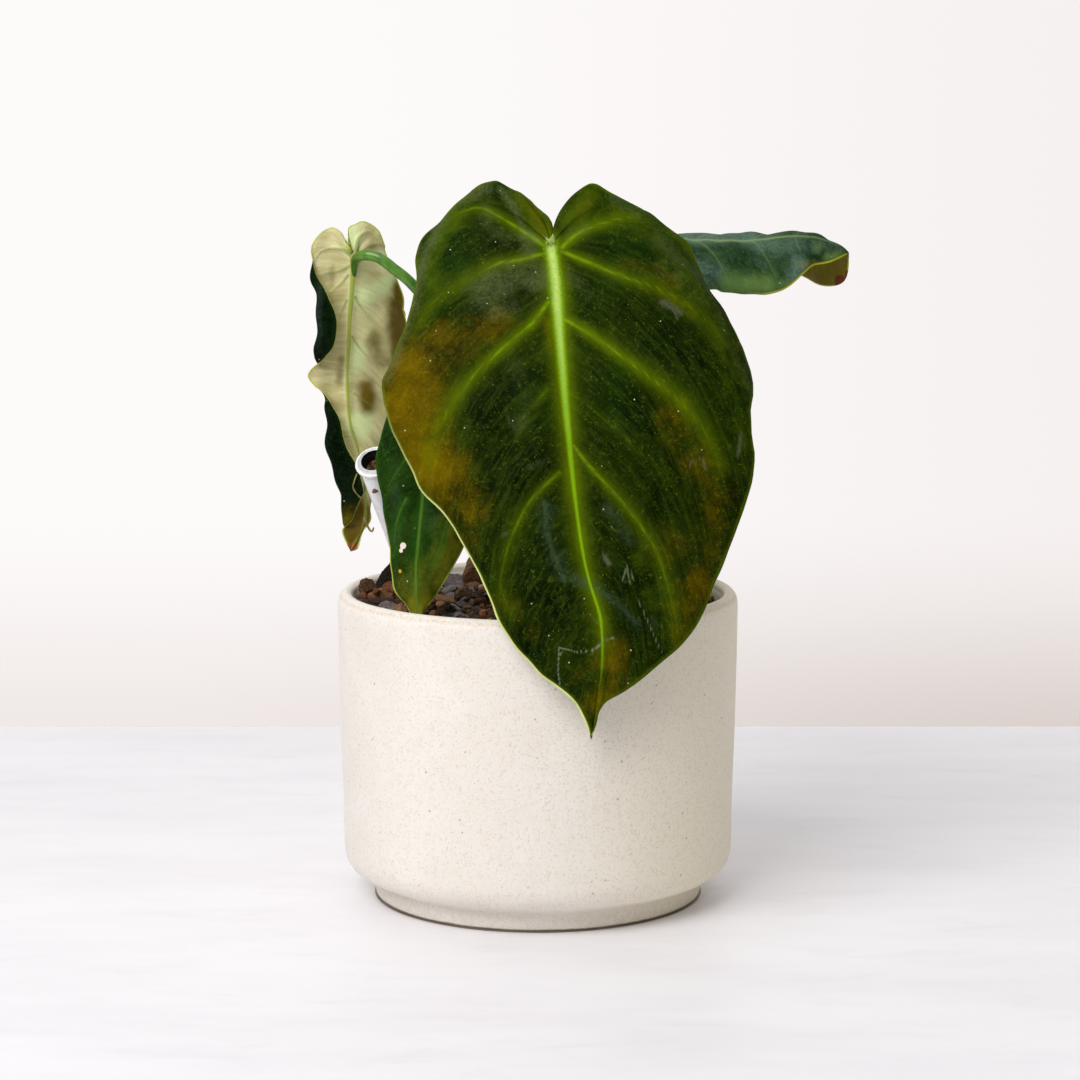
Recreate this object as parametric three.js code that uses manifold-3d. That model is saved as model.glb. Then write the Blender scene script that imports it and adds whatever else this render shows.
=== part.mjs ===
// A philodendron hybrid in a cream stoneware pot: one climbing stem with four heart-shaped leaves,
// bark mix, and a leaning white watering tube. Millimetres, +Z up, the front towards -Y, and the
// origin at the middle of the pot's flat underside.
import * as THREE from 'three';
import { mergeVertices } from 'three/addons/utils/BufferGeometryUtils.js';
import Module from 'manifold-3d';

const wasm = await Module();
wasm.setup();

// Driving dimensions
const potRadius = 76;
const potHeight = 117.5;
const potWall = 5.6;
const potFloor = 9;
const footRadius = 62.6;
const footHeight = 7.6;
const potSides = 44;
const soilLevel = 109.5;
const gap = 0.3;
const bladeThickness = 0.8;
const stemRadius = 5.6;
const tubeRadius = 6.2;
const tubeBore = 5.1;
const tubeLip = 7.4;
const ribTipRadius = 0.7;
const stalkSides = 8;
const stemSides = 12;
const tubeSides = 20;
const holeSides = 24;
const stepsPerStalkPoint = 2;
const joinDistance = 1e-4;

// The plant's outlines are drawn as they look from the front, on the upright plane through the pot's
// axis, from an eye this far in front of it, this high and this far to the right.
const eye = new THREE.Vector3(0.8, -1118, 295.3);

const finish = {
  stoneware: { color: 0xe6ddcd, roughness: 0.55 },
  bark: { color: 0x3b2a21, roughness: 0.95 },
  upperLeaf: { color: 0x1f3a14, roughness: 0.5 },
  paleLeaf: { color: 0xa9a673, roughness: 0.55 },
  blueLeaf: { color: 0x21402f, roughness: 0.5 },
  stem: { color: 0x4f6b2a, roughness: 0.5 },
  plastic: { color: 0xeceff0, roughness: 0.35 },
};

const group = new THREE.Group();

function addPart(name, geometry, look) {
  const mesh = new THREE.Mesh(geometry, new THREE.MeshStandardMaterial({ ...look, metalness: 0 }));
  mesh.name = name;
  group.add(mesh);
}

// The same mesh without shading data, so that faces which meet share their corners
function joined(geometry) {
  const bare = geometry.clone();
  bare.deleteAttribute('normal');
  bare.deleteAttribute('uv');
  return mergeVertices(bare, joinDistance);
}

// A closed mesh as a solid that can be joined and cut
function toSolid(geometry) {
  const merged = joined(geometry);
  const corners = [];
  for (let i = 0; i < merged.index.count; i += 3) {
    const [a, b, c] = [0, 1, 2].map((k) => merged.index.getX(i + k));
    if (a !== b && b !== c && c !== a) corners.push(a, b, c);
  }
  return new wasm.Manifold(new wasm.Mesh({
    numProp: 3,
    vertProperties: new Float32Array(merged.attributes.position.array),
    triVerts: new Uint32Array(corners),
  }));
}

// The largest body of a solid, without scraps that touch nothing and with any sealed pocket filled
function mainBody(solid) {
  const bodies = solid.decompose();
  return bodies.reduce((best, body) => (body.volume() > best.volume() ? body : best));
}

function toGeometry(solid) {
  const mesh = solid.getMesh();
  const geometry = new THREE.BufferGeometry();
  geometry.setAttribute('position', new THREE.BufferAttribute(new Float32Array(mesh.vertProperties), 3));
  geometry.setIndex(Array.from(mesh.triVerts));
  geometry.computeVertexNormals();
  return geometry;
}

function meshOf(points, corners) {
  const geometry = new THREE.BufferGeometry().setFromPoints(points);
  geometry.setIndex(corners);
  return geometry;
}

// The value at a place along a smooth curve through a list: place 2.5 lies halfway between items 2 and 3
function along(list, place) {
  const last = list.length - 1;
  const k = Math.max(0, Math.min(last - 1, Math.floor(place)));
  const f = Math.max(0, Math.min(1, place - k));
  const [p, q, r, s] = [k - 1, k, k + 1, k + 2].map((i) => list[Math.max(0, Math.min(last, i))]);
  return q.map((_, i) => 0.5 * (2 * q[i] + (r[i] - p[i]) * f
    + (2 * p[i] - 5 * q[i] + 4 * r[i] - s[i]) * f * f
    + (3 * q[i] - p[i] - 3 * r[i] + s[i]) * f * f * f));
}

// A point of the front view, x and z on the plane through the axis, carried to depth y along its sight line
function seen([x, y, z]) {
  return new THREE.Vector3(x, 0, z).sub(eye).multiplyScalar((y - eye.y) / -eye.y).add(eye);
}

// Leaf blades

// The middle surface of one half. Row v runs from a place on the rib to a place on the edge as a
// quadratic curve, t from 0 to 1, whose middle control point is the chord's middle moved by the bend.
function halfPoint(leaf, half, v, t) {
  const [ribPlace, edgePlace, bendX, bendY, bendZ, edgeY] = along(half.rows, v);
  const root = along(leaf.rib, Math.max(0, ribPlace));
  const [edgeX, edgeZ] = along(half.edge, Math.max(0, edgePlace));
  const end = [edgeX, edgeY, edgeZ];
  const bend = [bendX, bendY, bendZ];
  return root.map((a, i) => {
    const control = (a + end[i]) / 2 + bend[i];
    return (1 - t) ** 2 * a + 2 * t * (1 - t) * control + t * t * end[i];
  });
}

// Both halves as one sheet that shares the rib, with each corner's v and t kept for the puckers
function sheetOf(leaf, stepsPerRow, steps) {
  const rowCount = (leaf.left.rows.length - 1) * stepsPerRow;
  const points = [];
  const places = [];
  const corners = [];
  const number = new Map();
  const cornerAt = (side, i, j) => {
    const v = i / stepsPerRow;
    const point = seen(halfPoint(leaf, leaf[side], v, j / steps));
    const key = point.toArray().map((c) => Math.round(c * 1000)).join();
    if (!number.has(key)) {
      number.set(key, points.length);
      points.push(point);
      places.push([v, j / steps]);
    }
    return number.get(key);
  };
  const addTriangle = (a, b, c) => {
    if (a !== b && b !== c && c !== a) corners.push(a, b, c);
  };
  for (const side of ['left', 'right']) {
    for (let i = 0; i < rowCount; i += 1) {
      for (let j = 0; j < steps; j += 1) {
        const quad = [[i, j], [i, j + 1], [i + 1, j + 1], [i + 1, j]].map(([r, c]) => cornerAt(side, r, c));
        if (side === 'right') quad.reverse();
        addTriangle(quad[0], quad[1], quad[2]);
        addTriangle(quad[0], quad[2], quad[3]);
      }
    }
  }
  return { points, places, corners };
}

function normalsOf(points, corners) {
  const normals = points.map(() => new THREE.Vector3());
  for (let i = 0; i < corners.length; i += 3) {
    const [a, b, c] = corners.slice(i, i + 3).map((k) => points[k]);
    const face = b.clone().sub(a).cross(c.clone().sub(a));
    for (const k of corners.slice(i, i + 3)) normals[k].add(face);
  }
  return normals.map((n) => n.normalize());
}

// Raises the sheet between its main veins, which are the whole numbers of v
function pucker(sheet, height) {
  const normals = normalsOf(sheet.points, sheet.corners);
  sheet.points.forEach((point, k) => {
    const [v, t] = sheet.places[k];
    const lift = height * Math.sin(Math.PI * v) ** 2 * Math.sin(Math.PI * t ** 0.7);
    point.addScaledVector(normals[k], lift);
  });
}

// Gives the sheet its thickness: the same triangles on both faces, and a wall along its open edge
function thicken({ points, corners }, thickness) {
  const normals = normalsOf(points, corners);
  const count = points.length;
  const top = points.map((p, k) => p.clone().addScaledVector(normals[k], thickness / 2));
  const under = points.map((p, k) => p.clone().addScaledVector(normals[k], -thickness / 2));
  const all = [...corners];
  const open = new Map();
  for (let i = 0; i < corners.length; i += 3) {
    const [a, b, c] = corners.slice(i, i + 3);
    all.push(a + count, c + count, b + count);
    for (const [from, to] of [[a, b], [b, c], [c, a]]) {
      if (!open.delete(`${to},${from}`)) open.set(`${from},${to}`, [from, to]);
    }
  }
  for (const [from, to] of open.values()) {
    all.push(to, from, from + count, to, from + count, to + count);
  }
  return meshOf([...top, ...under], all);
}

// A round stalk through points [x, y, z, radius], closed at both ends
function stalk(path, sides) {
  const stepCount = (path.length - 1) * stepsPerStalkPoint;
  const stations = Array.from({ length: stepCount + 1 }, (_, i) => along(path, i / stepsPerStalkPoint));
  const centres = stations.map(([x, y, z]) => new THREE.Vector3(x, y, z));
  const points = [];
  const corners = [];
  let across = new THREE.Vector3(0, 1, 0);
  centres.forEach((centre, i) => {
    const ahead = centres[Math.min(stepCount, i + 1)].clone().sub(centres[Math.max(0, i - 1)]).normalize();
    across = across.addScaledVector(ahead, -across.dot(ahead)).normalize();
    const third = ahead.clone().cross(across);
    for (let k = 0; k < sides; k += 1) {
      const angle = (2 * Math.PI * k) / sides;
      points.push(centre.clone().addScaledVector(across, stations[i][3] * Math.cos(angle))
        .addScaledVector(third, stations[i][3] * Math.sin(angle)));
    }
  });
  const first = points.push(centres[0]) - 1;
  const last = points.push(centres[stepCount]) - 1;
  for (let k = 0; k < sides; k += 1) {
    const next = (k + 1) % sides;
    corners.push(first, next, k, last, stepCount * sides + k, stepCount * sides + next);
    for (let i = 0; i < stepCount; i += 1) {
      const [a, b, c, d] = [i * sides + k, i * sides + next, (i + 1) * sides + next, (i + 1) * sides + k];
      corners.push(a, b, c, a, c, d);
    }
  }
  return meshOf(points, corners);
}

// The rib's raised line under the blade, as stalk points, from its junction to where it fades out
function ribUnder(sheet, rootRadius, reach) {
  const normals = normalsOf(sheet.points, sheet.corners);
  const line = [];
  sheet.places.forEach(([v, t], k) => {
    if (t === 0 && Number.isInteger(v)) line.push([v, k]);
  });
  const used = line.filter((_, i) => i <= reach);
  return used.map(([, k], i) => {
    const radius = rootRadius + (ribTipRadius - rootRadius) * (i / (used.length - 1));
    const centre = sheet.points[k].clone().addScaledVector(normals[k], -radius * 0.75);
    return [...centre.toArray(), radius];
  });
}

// One leaf: blade, rib and leaf stalk grown as one piece, with the stalk's foot cut to fit the stem
function makeLeaf(leaf, stem) {
  const sheet = sheetOf(leaf, leaf.stepsPerRow, leaf.steps);
  pucker(sheet, leaf.pucker);
  const rib = ribUnder(sheet, leaf.ribRadius, leaf.ribReach);
  const blade = toSolid(thicken(sheet, bladeThickness));
  const support = toSolid(stalk([...leaf.stalk, ...rib], stalkSides));
  return mainBody(blade.add(support).subtract(stem));
}

// Rows hold: rib place, edge place, bend x, y, z, and the edge's y. Left and right are as seen from the
// upper face with the tip down. Whole rows past the first are main veins.

// The large front leaf, upper face forward, hanging past the rim
const frontLeaf = {
  stepsPerRow: 4,
  steps: 6,
  pucker: 1.3,
  ribRadius: 1.7,
  ribReach: 6,
  rib: [
    [4.9, -46, 248.2], [6.8, -53.3, 231], [8.3, -60.4, 212], [10.3, -68, 189.6], [12.9, -75.3, 163],
    [16.3, -81, 136], [19.5, -83.5, 120.8], [24, -85.5, 105], [24.5, -87, 88], [22.5, -87.7, 73],
    [20.5, -88, 59],
  ],
  left: {
    edge: [
      [3.4, 249], [3, 254.5], [-0.7, 262.8], [-6.7, 266.9], [-13.8, 270.8], [-17.5, 271.4],
      [-22.4, 269.8], [-29.5, 264.3], [-35.9, 257.6], [-43.3, 250.2], [-45.7, 243.8], [-45.7, 233.3],
      [-49.2, 219.8], [-56.5, 201.3], [-58.8, 195.3], [-57.5, 185.5], [-54.3, 175.5], [-48.3, 164],
      [-43.4, 154], [-34.5, 144.8], [-28.1, 133.6], [-19.8, 117.1], [-12.3, 99.9], [0.8, 84.4],
      [12.3, 75.1], [17.3, 67.3], [20.5, 59],
    ],
    rows: [
      [0, 0, 0, 0, 0, -45.5], [0, 3, 2, 0, 3, -36], [0, 6, 0, 0, 10, -35], [0, 9.1, -2, 3, 22, -33],
      [0.15, 12.7, 0, -4, 14, -50], [1.3, 18.2, -18, -8, 14, -68], [3, 20.4, -15, -6, 10, -78],
      [4.15, 21.9, -11, -4, 11, -82], [5.9, 22.8, -6, -2, 6, -85], [7.4, 23.7, -3, 0, 4, -87],
      [10, 26, 0, 0, 0, -88],
    ],
  },
  right: {
    edge: [
      [6.3, 249], [6.4, 254], [7.8, 258.5], [11.3, 264.3], [16.5, 268.7], [21.4, 270.6], [27.7, 267.2],
      [37.5, 262], [44.4, 256.8], [51, 252.6], [56.5, 247.6], [60.2, 240], [65.1, 230.7], [70.4, 222.4],
      [74.6, 214.5], [80.8, 198.7], [81.3, 192], [80.2, 184.6], [81.8, 172.1], [81.2, 159.2],
      [76.8, 143.9], [68.6, 122], [62.2, 106.9], [56.8, 97.6], [45.2, 87.1], [34.1, 78.2],
      [26.1, 73.5], [22.4, 67], [20.5, 59],
    ],
    rows: [
      [0, 0, 0, 0, 0, -45.5], [0, 3, 0, 0, 2, -37], [0, 5.2, -2, 0, 8, -35], [0, 10.3, 0, 0, 25, -30],
      [0.15, 18.2, 15, 0, 27, -60], [1.3, 20.8, 21, -3, 24, -72], [3, 22.2, 15, -3, 18, -78],
      [4.15, 23.8, 12, -2, 20, -83], [5.9, 24.8, 7, -1, 10, -85.5], [7.4, 25.8, 3, 0, 4, -87],
      [10, 28, 0, 0, 0, -88],
    ],
  },
  stalk: [
    [0, 5, 141, 2.6], [0.3, -3, 152, 2.5], [1, -6, 180, 2.3], [2, -9, 212, 2.2], [3.3, -16, 238, 2.1],
    [4.3, -28, 250, 2.1], [4.7, -39, 251, 2],
  ],
};

// The pale leaf on the left, underside forward, with its outer half rolled towards the front
const leftLeaf = {
  stepsPerRow: 2,
  steps: 7,
  pucker: 0.6,
  ribRadius: 1.3,
  ribReach: 9,
  rib: [
    [-69.2, 8, 243], [-69.6, 10, 235], [-71, 12, 217.5], [-72, 12.5, 196.4], [-71, 11.5, 181],
    [-67.7, 10, 169], [-65.6, 8.5, 154.6], [-66.4, 7.5, 142], [-71.2, 6, 131.8],
  ],
  right: {
    edge: [
      [-69.9, 245.2], [-72.6, 249.7], [-76, 254.2], [-79.7, 253.5], [-83.1, 250.5], [-85, 246.7],
      [-84.3, 241.1], [-82.5, 235.2], [-78.5, 228.4], [-76.3, 221.6], [-75.6, 216.4], [-76.8, 209.6],
      [-80.2, 205.8], [-86.5, 199.4], [-84.4, 195.6], [-80.3, 191.1], [-77.7, 187.7], [-74.4, 179.7],
      [-72.6, 172.1], [-68.5, 164.5], [-66.3, 155.3], [-67.1, 152.3], [-70.6, 144.2], [-74.4, 139.6],
      [-71.2, 131.8],
    ],
    rows: [
      [0, 0, 0, 0, 0, 8], [0, 2, 1, 0, 2, 9], [0, 4.5, 0, 1, 4, 7], [0.6, 6.7, -14, 2, 0, 6],
      [1.3, 8.2, -17.3, 4.5, 0, 2], [2, 10.3, -18.9, 5.5, 0, 1], [2.6, 11.8, -15.8, 4.5, 0, 3],
      [2.85, 13, 0, 0, 0, 9], [3.4, 15.3, -7, 2, 0, 7], [4, 17, -13.2, 5, 0, 2],
      [5, 18.8, -19.4, 5, 0, 0], [6, 20.2, -17.5, 5, 0, -1], [6.8, 22, -11.2, 3, 0, 2],
      [7.2, 23, 0, 0, 0, 5], [8, 24, 0, 0, 0, 6],
    ],
  },
  left: {
    edge: [
      [-69.5, 245.2], [-71.1, 253.6], [-68.4, 255.7], [-65.8, 256.8], [-62.5, 255.7], [-59.5, 253.1],
      [-57.3, 247.9], [-56.9, 244.9], [-52.5, 234.4], [-50.3, 228], [-50.3, 222.8], [-49.6, 219],
      [-50, 205], [-53, 188], [-57, 174], [-60, 162], [-63.7, 148.8], [-63.7, 143.5], [-66.4, 139.3],
      [-68.4, 133.1], [-71.2, 131.8],
    ],
    rows: [
      [0, 0, 0, 0, 0, 8], [0, 3.2, 0, 0, 1, 9], [0, 6.6, 0, -1, 5, 13], [0.6, 9.6, 2, -2, 6, 20],
      [1.3, 11.7, 3, -3, 7, 24], [2, 12.6, 3, -3, 6, 24], [2.6, 13, 2, -3, 5, 23],
      [2.85, 13.2, 2, -3, 5, 22], [3.4, 14, 2, -2, 4, 19], [4, 14.5, 1, -2, 4, 17],
      [5, 15.3, 1, -1, 3, 13], [6, 16.3, 0, 0, 1, 10], [6.8, 17.5, 0, 0, 0, 8],
      [7.2, 18.3, 0, 0, 0, 7], [8, 20, 0, 0, 0, 6],
    ],
  },
  stalk: [
    [-1, 6, 131, 2.5], [-8, 4, 146, 2.4], [-19, 1, 183, 2.3], [-33.5, -1, 216, 2.2],
    [-46.2, -2, 232.3, 2.1], [-54, -1, 239, 2.1], [-60, 0, 243.2, 2.1], [-65.6, 2, 243.7, 1.9],
  ],
};

// The leaf that reaches out to the right behind the others, nearly level, its far half bent down
const rightLeaf = {
  stepsPerRow: 3,
  steps: 6,
  pucker: 0.6,
  ribRadius: 1.4,
  ribReach: 5,
  rib: [
    [28, 20, 247], [45, 25, 250.5], [62, 30, 250], [80, 36, 249.5], [96, 43, 251], [108, 48, 249.5],
    [116.7, 52, 244.9],
  ],
  left: {
    edge: [
      [26.6, 246.2], [22, 241], [25, 234], [36, 229], [50, 228], [65, 231], [69.6, 230.3],
      [77.5, 229.5], [87.2, 229.5], [94.3, 232.3], [99.5, 237], [103, 240], [110, 241.5],
      [116.7, 244.9],
    ],
    rows: [
      [0, 0, 0, 0, 0, 19], [0, 1.6, 0, 0, 2, 9], [0, 3.2, 2, -1, 3, 3], [0.7, 4.6, 4, -2, 4, 4],
      [1.8, 6.4, 4, -2, 4, 9], [3, 8.4, 3, -2, 3, 18], [4, 10, 1, -1, 1, 31],
      [5, 11.9, 0, 0, 0.5, 44], [6, 13, 0, 0, 0, 52],
    ],
  },
  right: {
    edge: [
      [26.8, 249], [21, 252], [25, 254], [36, 254], [50, 252], [64, 249], [78, 247], [90, 243],
      [99.5, 236], [106, 233], [111.8, 232.7], [115, 234.5], [116.4, 239], [116.7, 244.9],
    ],
    rows: [
      [0, 0, 0, 0, 0, 22], [0, 1.7, 0, 0, 2, 34], [0, 3.1, 2, 2, 1, 45], [0.7, 4.6, 4, 4, 2, 58],
      [1.8, 6, 4, 5, 6, 66], [3, 7.5, 3, 4, 12, 66], [4, 9, 2, 3, 16, 61],
      [5, 10.9, 1, 1, 9, 56], [6, 13, 0, 0, 0, 52],
    ],
  },
  stalk: [
    [1, 6, 123, 2.5], [7, 9, 136, 2.4], [13, 12, 170, 2.2], [18, 15, 210, 2.1], [23, 17, 236, 2],
    [27, 19, 244.5, 1.9],
  ],
};

// The small leaf at the front left, upper face forward, its tip tucked inside the rim
const smallLeaf = {
  stepsPerRow: 3,
  steps: 5,
  pucker: 0.7,
  ribRadius: 1.1,
  ribReach: 5,
  rib: [
    [-38.7, -33, 188.7], [-41, -38, 176], [-43.2, -41.5, 163], [-44, -44, 150], [-45.3, -46, 137],
    [-46.4, -47.5, 125.4], [-46.2, -49, 114], [-45, -50, 103.5],
  ],
  left: {
    edge: [
      [-39.6, 189.8], [-42, 194.5], [-46.5, 196.5], [-51.5, 193.5], [-55, 188], [-57.2, 182],
      [-59.7, 176.3], [-61.3, 169.1], [-61.3, 163.4], [-60.2, 156.5], [-58.4, 145.4], [-56.6, 134.3],
      [-55.9, 125.4], [-54.4, 116.9], [-50.3, 110.8], [-45, 103.5],
    ],
    rows: [
      [0, 0, 0, 0, 0, -33], [0, 1.8, 0, 0, 1, -29], [0, 4.2, 0, 0, 6, -31], [0.7, 7, -2, -2, 6, -36],
      [2.1, 9.6, -3, -2, 5, -40], [3.6, 11.4, -3, -2, 5, -42], [5, 13, -2, -1, 4, -43],
      [6, 14.2, -1, 0, 2, -46], [7, 15, 0, 0, 0, -50],
    ],
  },
  right: {
    edge: [
      [-37.9, 189.8], [-36, 194], [-32, 196], [-27.5, 193], [-24.5, 186], [-22.8, 176], [-22.5, 165],
      [-23.5, 152], [-26, 141], [-28.1, 133.5], [-32.3, 125.8], [-39.2, 114], [-42.8, 109],
      [-45, 103.5],
    ],
    rows: [
      [0, 0, 0, 0, 0, -33], [0, 1.8, 0, 0, 1, -29], [0, 3.8, 0, 0, 6, -30], [0.7, 5.8, 2, -2, 7, -34],
      [2.1, 7.6, 3, -2, 6, -38], [3.6, 9.2, 3, -2, 6, -42], [5, 10.6, 2, -1, 4, -45],
      [6, 11.6, 1, 0, 2, -48], [7, 13, 0, 0, 0, -50],
    ],
  },
  stalk: [
    [-1, 6, 116, 2.1], [-7, -1, 128, 2], [-15, -9, 156, 1.8], [-24, -16, 182, 1.6],
    [-32, -22, 192, 1.5], [-36, -27, 191, 1.4],
  ],
};

// The climbing stem: rooted in the mix, ringed at its nodes, and pointed where the next leaf will open
const stemPath = [
  [2, 7, 86, stemRadius], [1.5, 7, 100, stemRadius], [1, 7, 112, stemRadius + 0.6],
  [0.6, 6.8, 118, stemRadius - 0.4], [0.3, 6.6, 124, stemRadius + 0.4],
  [0, 6.4, 129, stemRadius - 0.7], [0, 6.2, 134, stemRadius + 0.1],
  [-0.2, 6, 140, stemRadius - 1], [-0.4, 5.8, 146, stemRadius - 0.6],
  [-0.6, 5.6, 154, stemRadius - 2.4], [-0.6, 5.6, 164, 1],
];

function grown(path, amount) {
  return path.map(([x, y, z, radius]) => [x, y, z, radius + amount]);
}

// The pot: a thick wall with a rounded rim, a rounded lower corner and a foot set in under it
const bore = potRadius - potWall;
const insideProfile = [
  [bore, potHeight - 3], [bore - 0.5, potHeight - 10], [bore - 1.6, 60], [bore - 2.8, 22],
  [bore - 6, potFloor + 2.6], [bore - 13, potFloor],
];
const potProfile = [
  [0, 0], [footRadius - 1.4, 0], [footRadius, 1.3], [footRadius, footHeight],
  [footRadius + 2.4, footHeight + 1], [69.4, 10.2], [72.3, 12.6], [73.9, 16], [74.3, 20.5],
  [74.5, 38], [75.1, 58], [75.6, 80], [75.9, 98], [potRadius, 108], [potRadius, potHeight - 4],
  [potRadius - 0.6, potHeight - 1.9], [potRadius - 1.8, potHeight - 0.5],
  [potRadius - 3.1, potHeight], [bore + 1.3, potHeight - 0.3], [bore + 0.3, potHeight - 1.2],
  ...insideProfile, [0, potFloor],
];

// Lathe shapes turn about +Y, so they are stood up onto +Z
function turned(profile, sides) {
  const outline = profile.map(([radius, z]) => new THREE.Vector2(radius, z));
  return new THREE.LatheGeometry(outline, sides).rotateX(Math.PI / 2);
}

// Bark mix: one bed with the chips, stones and crumbs grown into its top
let seed = 20417;
function random(from = 0, to = 1) {
  seed = (seed * 1664525 + 1013904223) % 4294967296;
  return from + (to - from) * (seed / 4294967296);
}

// The bed's height: a low mound with a few soft hollows
function bedHeight(x, y) {
  const radius = Math.hypot(x, y);
  const mound = 3.2 * Math.cos((radius / bore) * 1.45);
  const hollows = 0.9 * Math.sin(x * 0.21 + 1.3) * Math.cos(y * 0.19 - 0.4);
  return soilLevel - 1.5 + mound + hollows;
}

// The bed: its uneven top as rings of corners, then its side, a gap inside the pot's, down to the floor
function soilBed() {
  const sectors = 36;
  const rings = [0.2, 0.42, 0.64, 0.84, 1];
  const topRadius = bore - 0.5 - gap;
  const points = [new THREE.Vector3(0, 0, bedHeight(0, 0))];
  const corners = [];
  const side = insideProfile.slice(2).map(([radius, z]) => [radius - gap, z + gap]);
  const ringPoint = (ring, k) => {
    const angle = (2 * Math.PI * k) / sectors;
    const flat = [Math.cos(angle), Math.sin(angle)];
    if (ring < rings.length) {
      const [x, y] = flat.map((c) => c * topRadius * rings[ring]);
      return new THREE.Vector3(x, y, bedHeight(x, y));
    }
    const [radius, z] = side[ring - rings.length];
    return new THREE.Vector3(flat[0] * radius, flat[1] * radius, z);
  };
  const ringCount = rings.length + side.length;
  for (let ring = 0; ring < ringCount; ring += 1) {
    for (let k = 0; k < sectors; k += 1) points.push(ringPoint(ring, k));
  }
  const bottom = points.push(new THREE.Vector3(0, 0, potFloor + gap)) - 1;
  for (let k = 0; k < sectors; k += 1) {
    const next = (k + 1) % sectors;
    corners.push(0, 1 + k, 1 + next);
    const lastRing = 1 + (ringCount - 1) * sectors;
    corners.push(bottom, lastRing + next, lastRing + k);
    for (let ring = 0; ring < ringCount - 1; ring += 1) {
      const [a, b] = [1 + ring * sectors + k, 1 + ring * sectors + next];
      corners.push(a, a + sectors, b + sectors, a, b + sectors, b);
    }
  }
  return toSolid(meshOf(points, corners));
}

// One chip: a squashed, knocked-about ball of few faces, turned and sunk into the bed
function chip(ball, [x, y, z], [length, width, height], turn, tilt) {
  const shape = joined(ball);
  const corner = shape.attributes.position;
  for (let k = 0; k < corner.count; k += 1) {
    const knock = random(0.78, 1.12);
    corner.setXYZ(k, corner.getX(k) * knock, corner.getY(k) * knock, corner.getZ(k) * knock);
  }
  shape.scale(length / 2, width / 2, height / 2).rotateY(tilt).rotateZ(turn).translate(x, y, z);
  return toSolid(shape);
}

// The pieces that show at the front: place, size, turn and tilt
const shownChips = [
  [[-59, 26, 117], [7, 5, 17], 0.4, 0.25],
  [[-65, 10, 115.5], [10, 6, 9], 1.2, -0.5],
  [[-61, 9, 112], [13, 11, 8], 0.9, 0.2],
  [[-61, -6, 112.5], [14, 9, 5.5], 0.3, 0.1],
  [[-55.5, -12, 111.5], [10, 8, 6], -0.3, 0],
  [[-32, 30, 114.5], [9, 7, 12], 0.2, 0.15],
  [[-33, 23, 112], [12, 8, 6], 0.3, -0.35],
  [[-34, 12, 111], [8, 6, 6], 0, 0],
  [[-25, 2, 112.5], [12, 9, 9], 0.3, 0.1],
  [[-26, 46, 116], [10, 8, 17], 0.9, 0.3],
  [[-17, 20, 114], [9, 7, 8], 0.9, 0.3],
];

// Spots that stay free of chips: the stem, the small leaf's tip and the watering tube
const clearSpots = [[1, 7, 13], [-43, -49, 8], [-43, 32, 12], [-47, 24, 9]];

// The bed with the chips that show and the rest strewn in uneven rows, trimmed to the room inside the pot
function barkMix() {
  const pieces = [soilBed()];
  const manyFaced = new THREE.IcosahedronGeometry(1, 0);
  const fewFaced = new THREE.OctahedronGeometry(1, 0);
  for (const [place, size, turn, tilt] of shownChips) pieces.push(chip(manyFaced, place, size, turn, tilt));
  const spacing = 16.5;
  const rowSpacing = spacing * 0.87;
  const stray = 2.6;
  const reach = Math.floor(bore / spacing) + 1;
  for (let row = -reach; row <= reach; row += 1) {
    for (let column = -reach; column <= reach; column += 1) {
      const x = (column + (row % 2) / 2) * spacing + random(-stray, stray);
      const y = row * rowSpacing + random(-stray, stray);
      const size = [random(15, 22), random(11, 16), random(8, 12)];
      const [turn, tilt] = [random(0, Math.PI), random(-0.5, 0.5)];
      const near = [...clearSpots, ...shownChips.map(([[cx, cy]]) => [cx, cy, 7])];
      const free = near.every(([cx, cy, radius]) => Math.hypot(x - cx, y - cy) > radius);
      if (free && Math.hypot(x, y) < bore - 4) {
        pieces.push(chip(fewFaced, [x, y, bedHeight(x, y) + random(0, 1.8)], size, turn, tilt));
      }
    }
  }
  const roomTop = potHeight + 12;
  const room = [
    [0, potFloor + gap], ...insideProfile.slice().reverse().map(([radius, z]) => [radius - gap, z + gap]),
    [bore - gap, roomTop], [0, roomTop],
  ];
  return wasm.Manifold.union(pieces).intersect(toSolid(turned(room, potSides)));
}

// The watering tube: open at both ends, flared at its mouth, leaning forward and to the left
const tubeMouth = new THREE.Vector3(-60.6, -24, 169.1);
const tubeLean = new THREE.Vector3(-0.2, -0.66, 0.725).normalize();
const tubeLength = 96;

// Turns a shape made upright, its mouth at the origin, onto the tube's line
function leaned(geometry) {
  const turn = new THREE.Quaternion().setFromUnitVectors(new THREE.Vector3(0, 0, 1), tubeLean);
  return geometry.applyQuaternion(turn).translate(...tubeMouth.toArray());
}

const tubeProfile = [
  [tubeBore, -tubeLength], [tubeRadius, -tubeLength], [tubeRadius, -3.4], [tubeRadius + 0.5, -2.2],
  [tubeLip - 0.3, -1.3], [tubeLip, -0.6], [tubeLip - 0.3, 0], [tubeLip - 0.9, 0],
  [tubeBore + 0.9, -1], [tubeBore, -2.8], [tubeBore, -tubeLength],
];

const fillProfile = [
  [0, -tubeLength + 1], [tubeBore - gap, -tubeLength + 1], [tubeBore - gap, -4.4],
  [tubeBore - 1.6, -3.4], [2, -3.9], [0, -3.2],
];

const tubeHole = [
  [0, -tubeLength - 1], [tubeRadius + gap, -tubeLength - 1], [tubeRadius + gap, 4], [0, 4],
];

// Everything is put together here
const stem = toSolid(stalk(stemPath, stemSides));
const stemRoom = toSolid(stalk(grown(stemPath, gap), stemSides));
const mix = barkMix().subtract(stemRoom).subtract(toSolid(leaned(turned(tubeHole, holeSides))));

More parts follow.
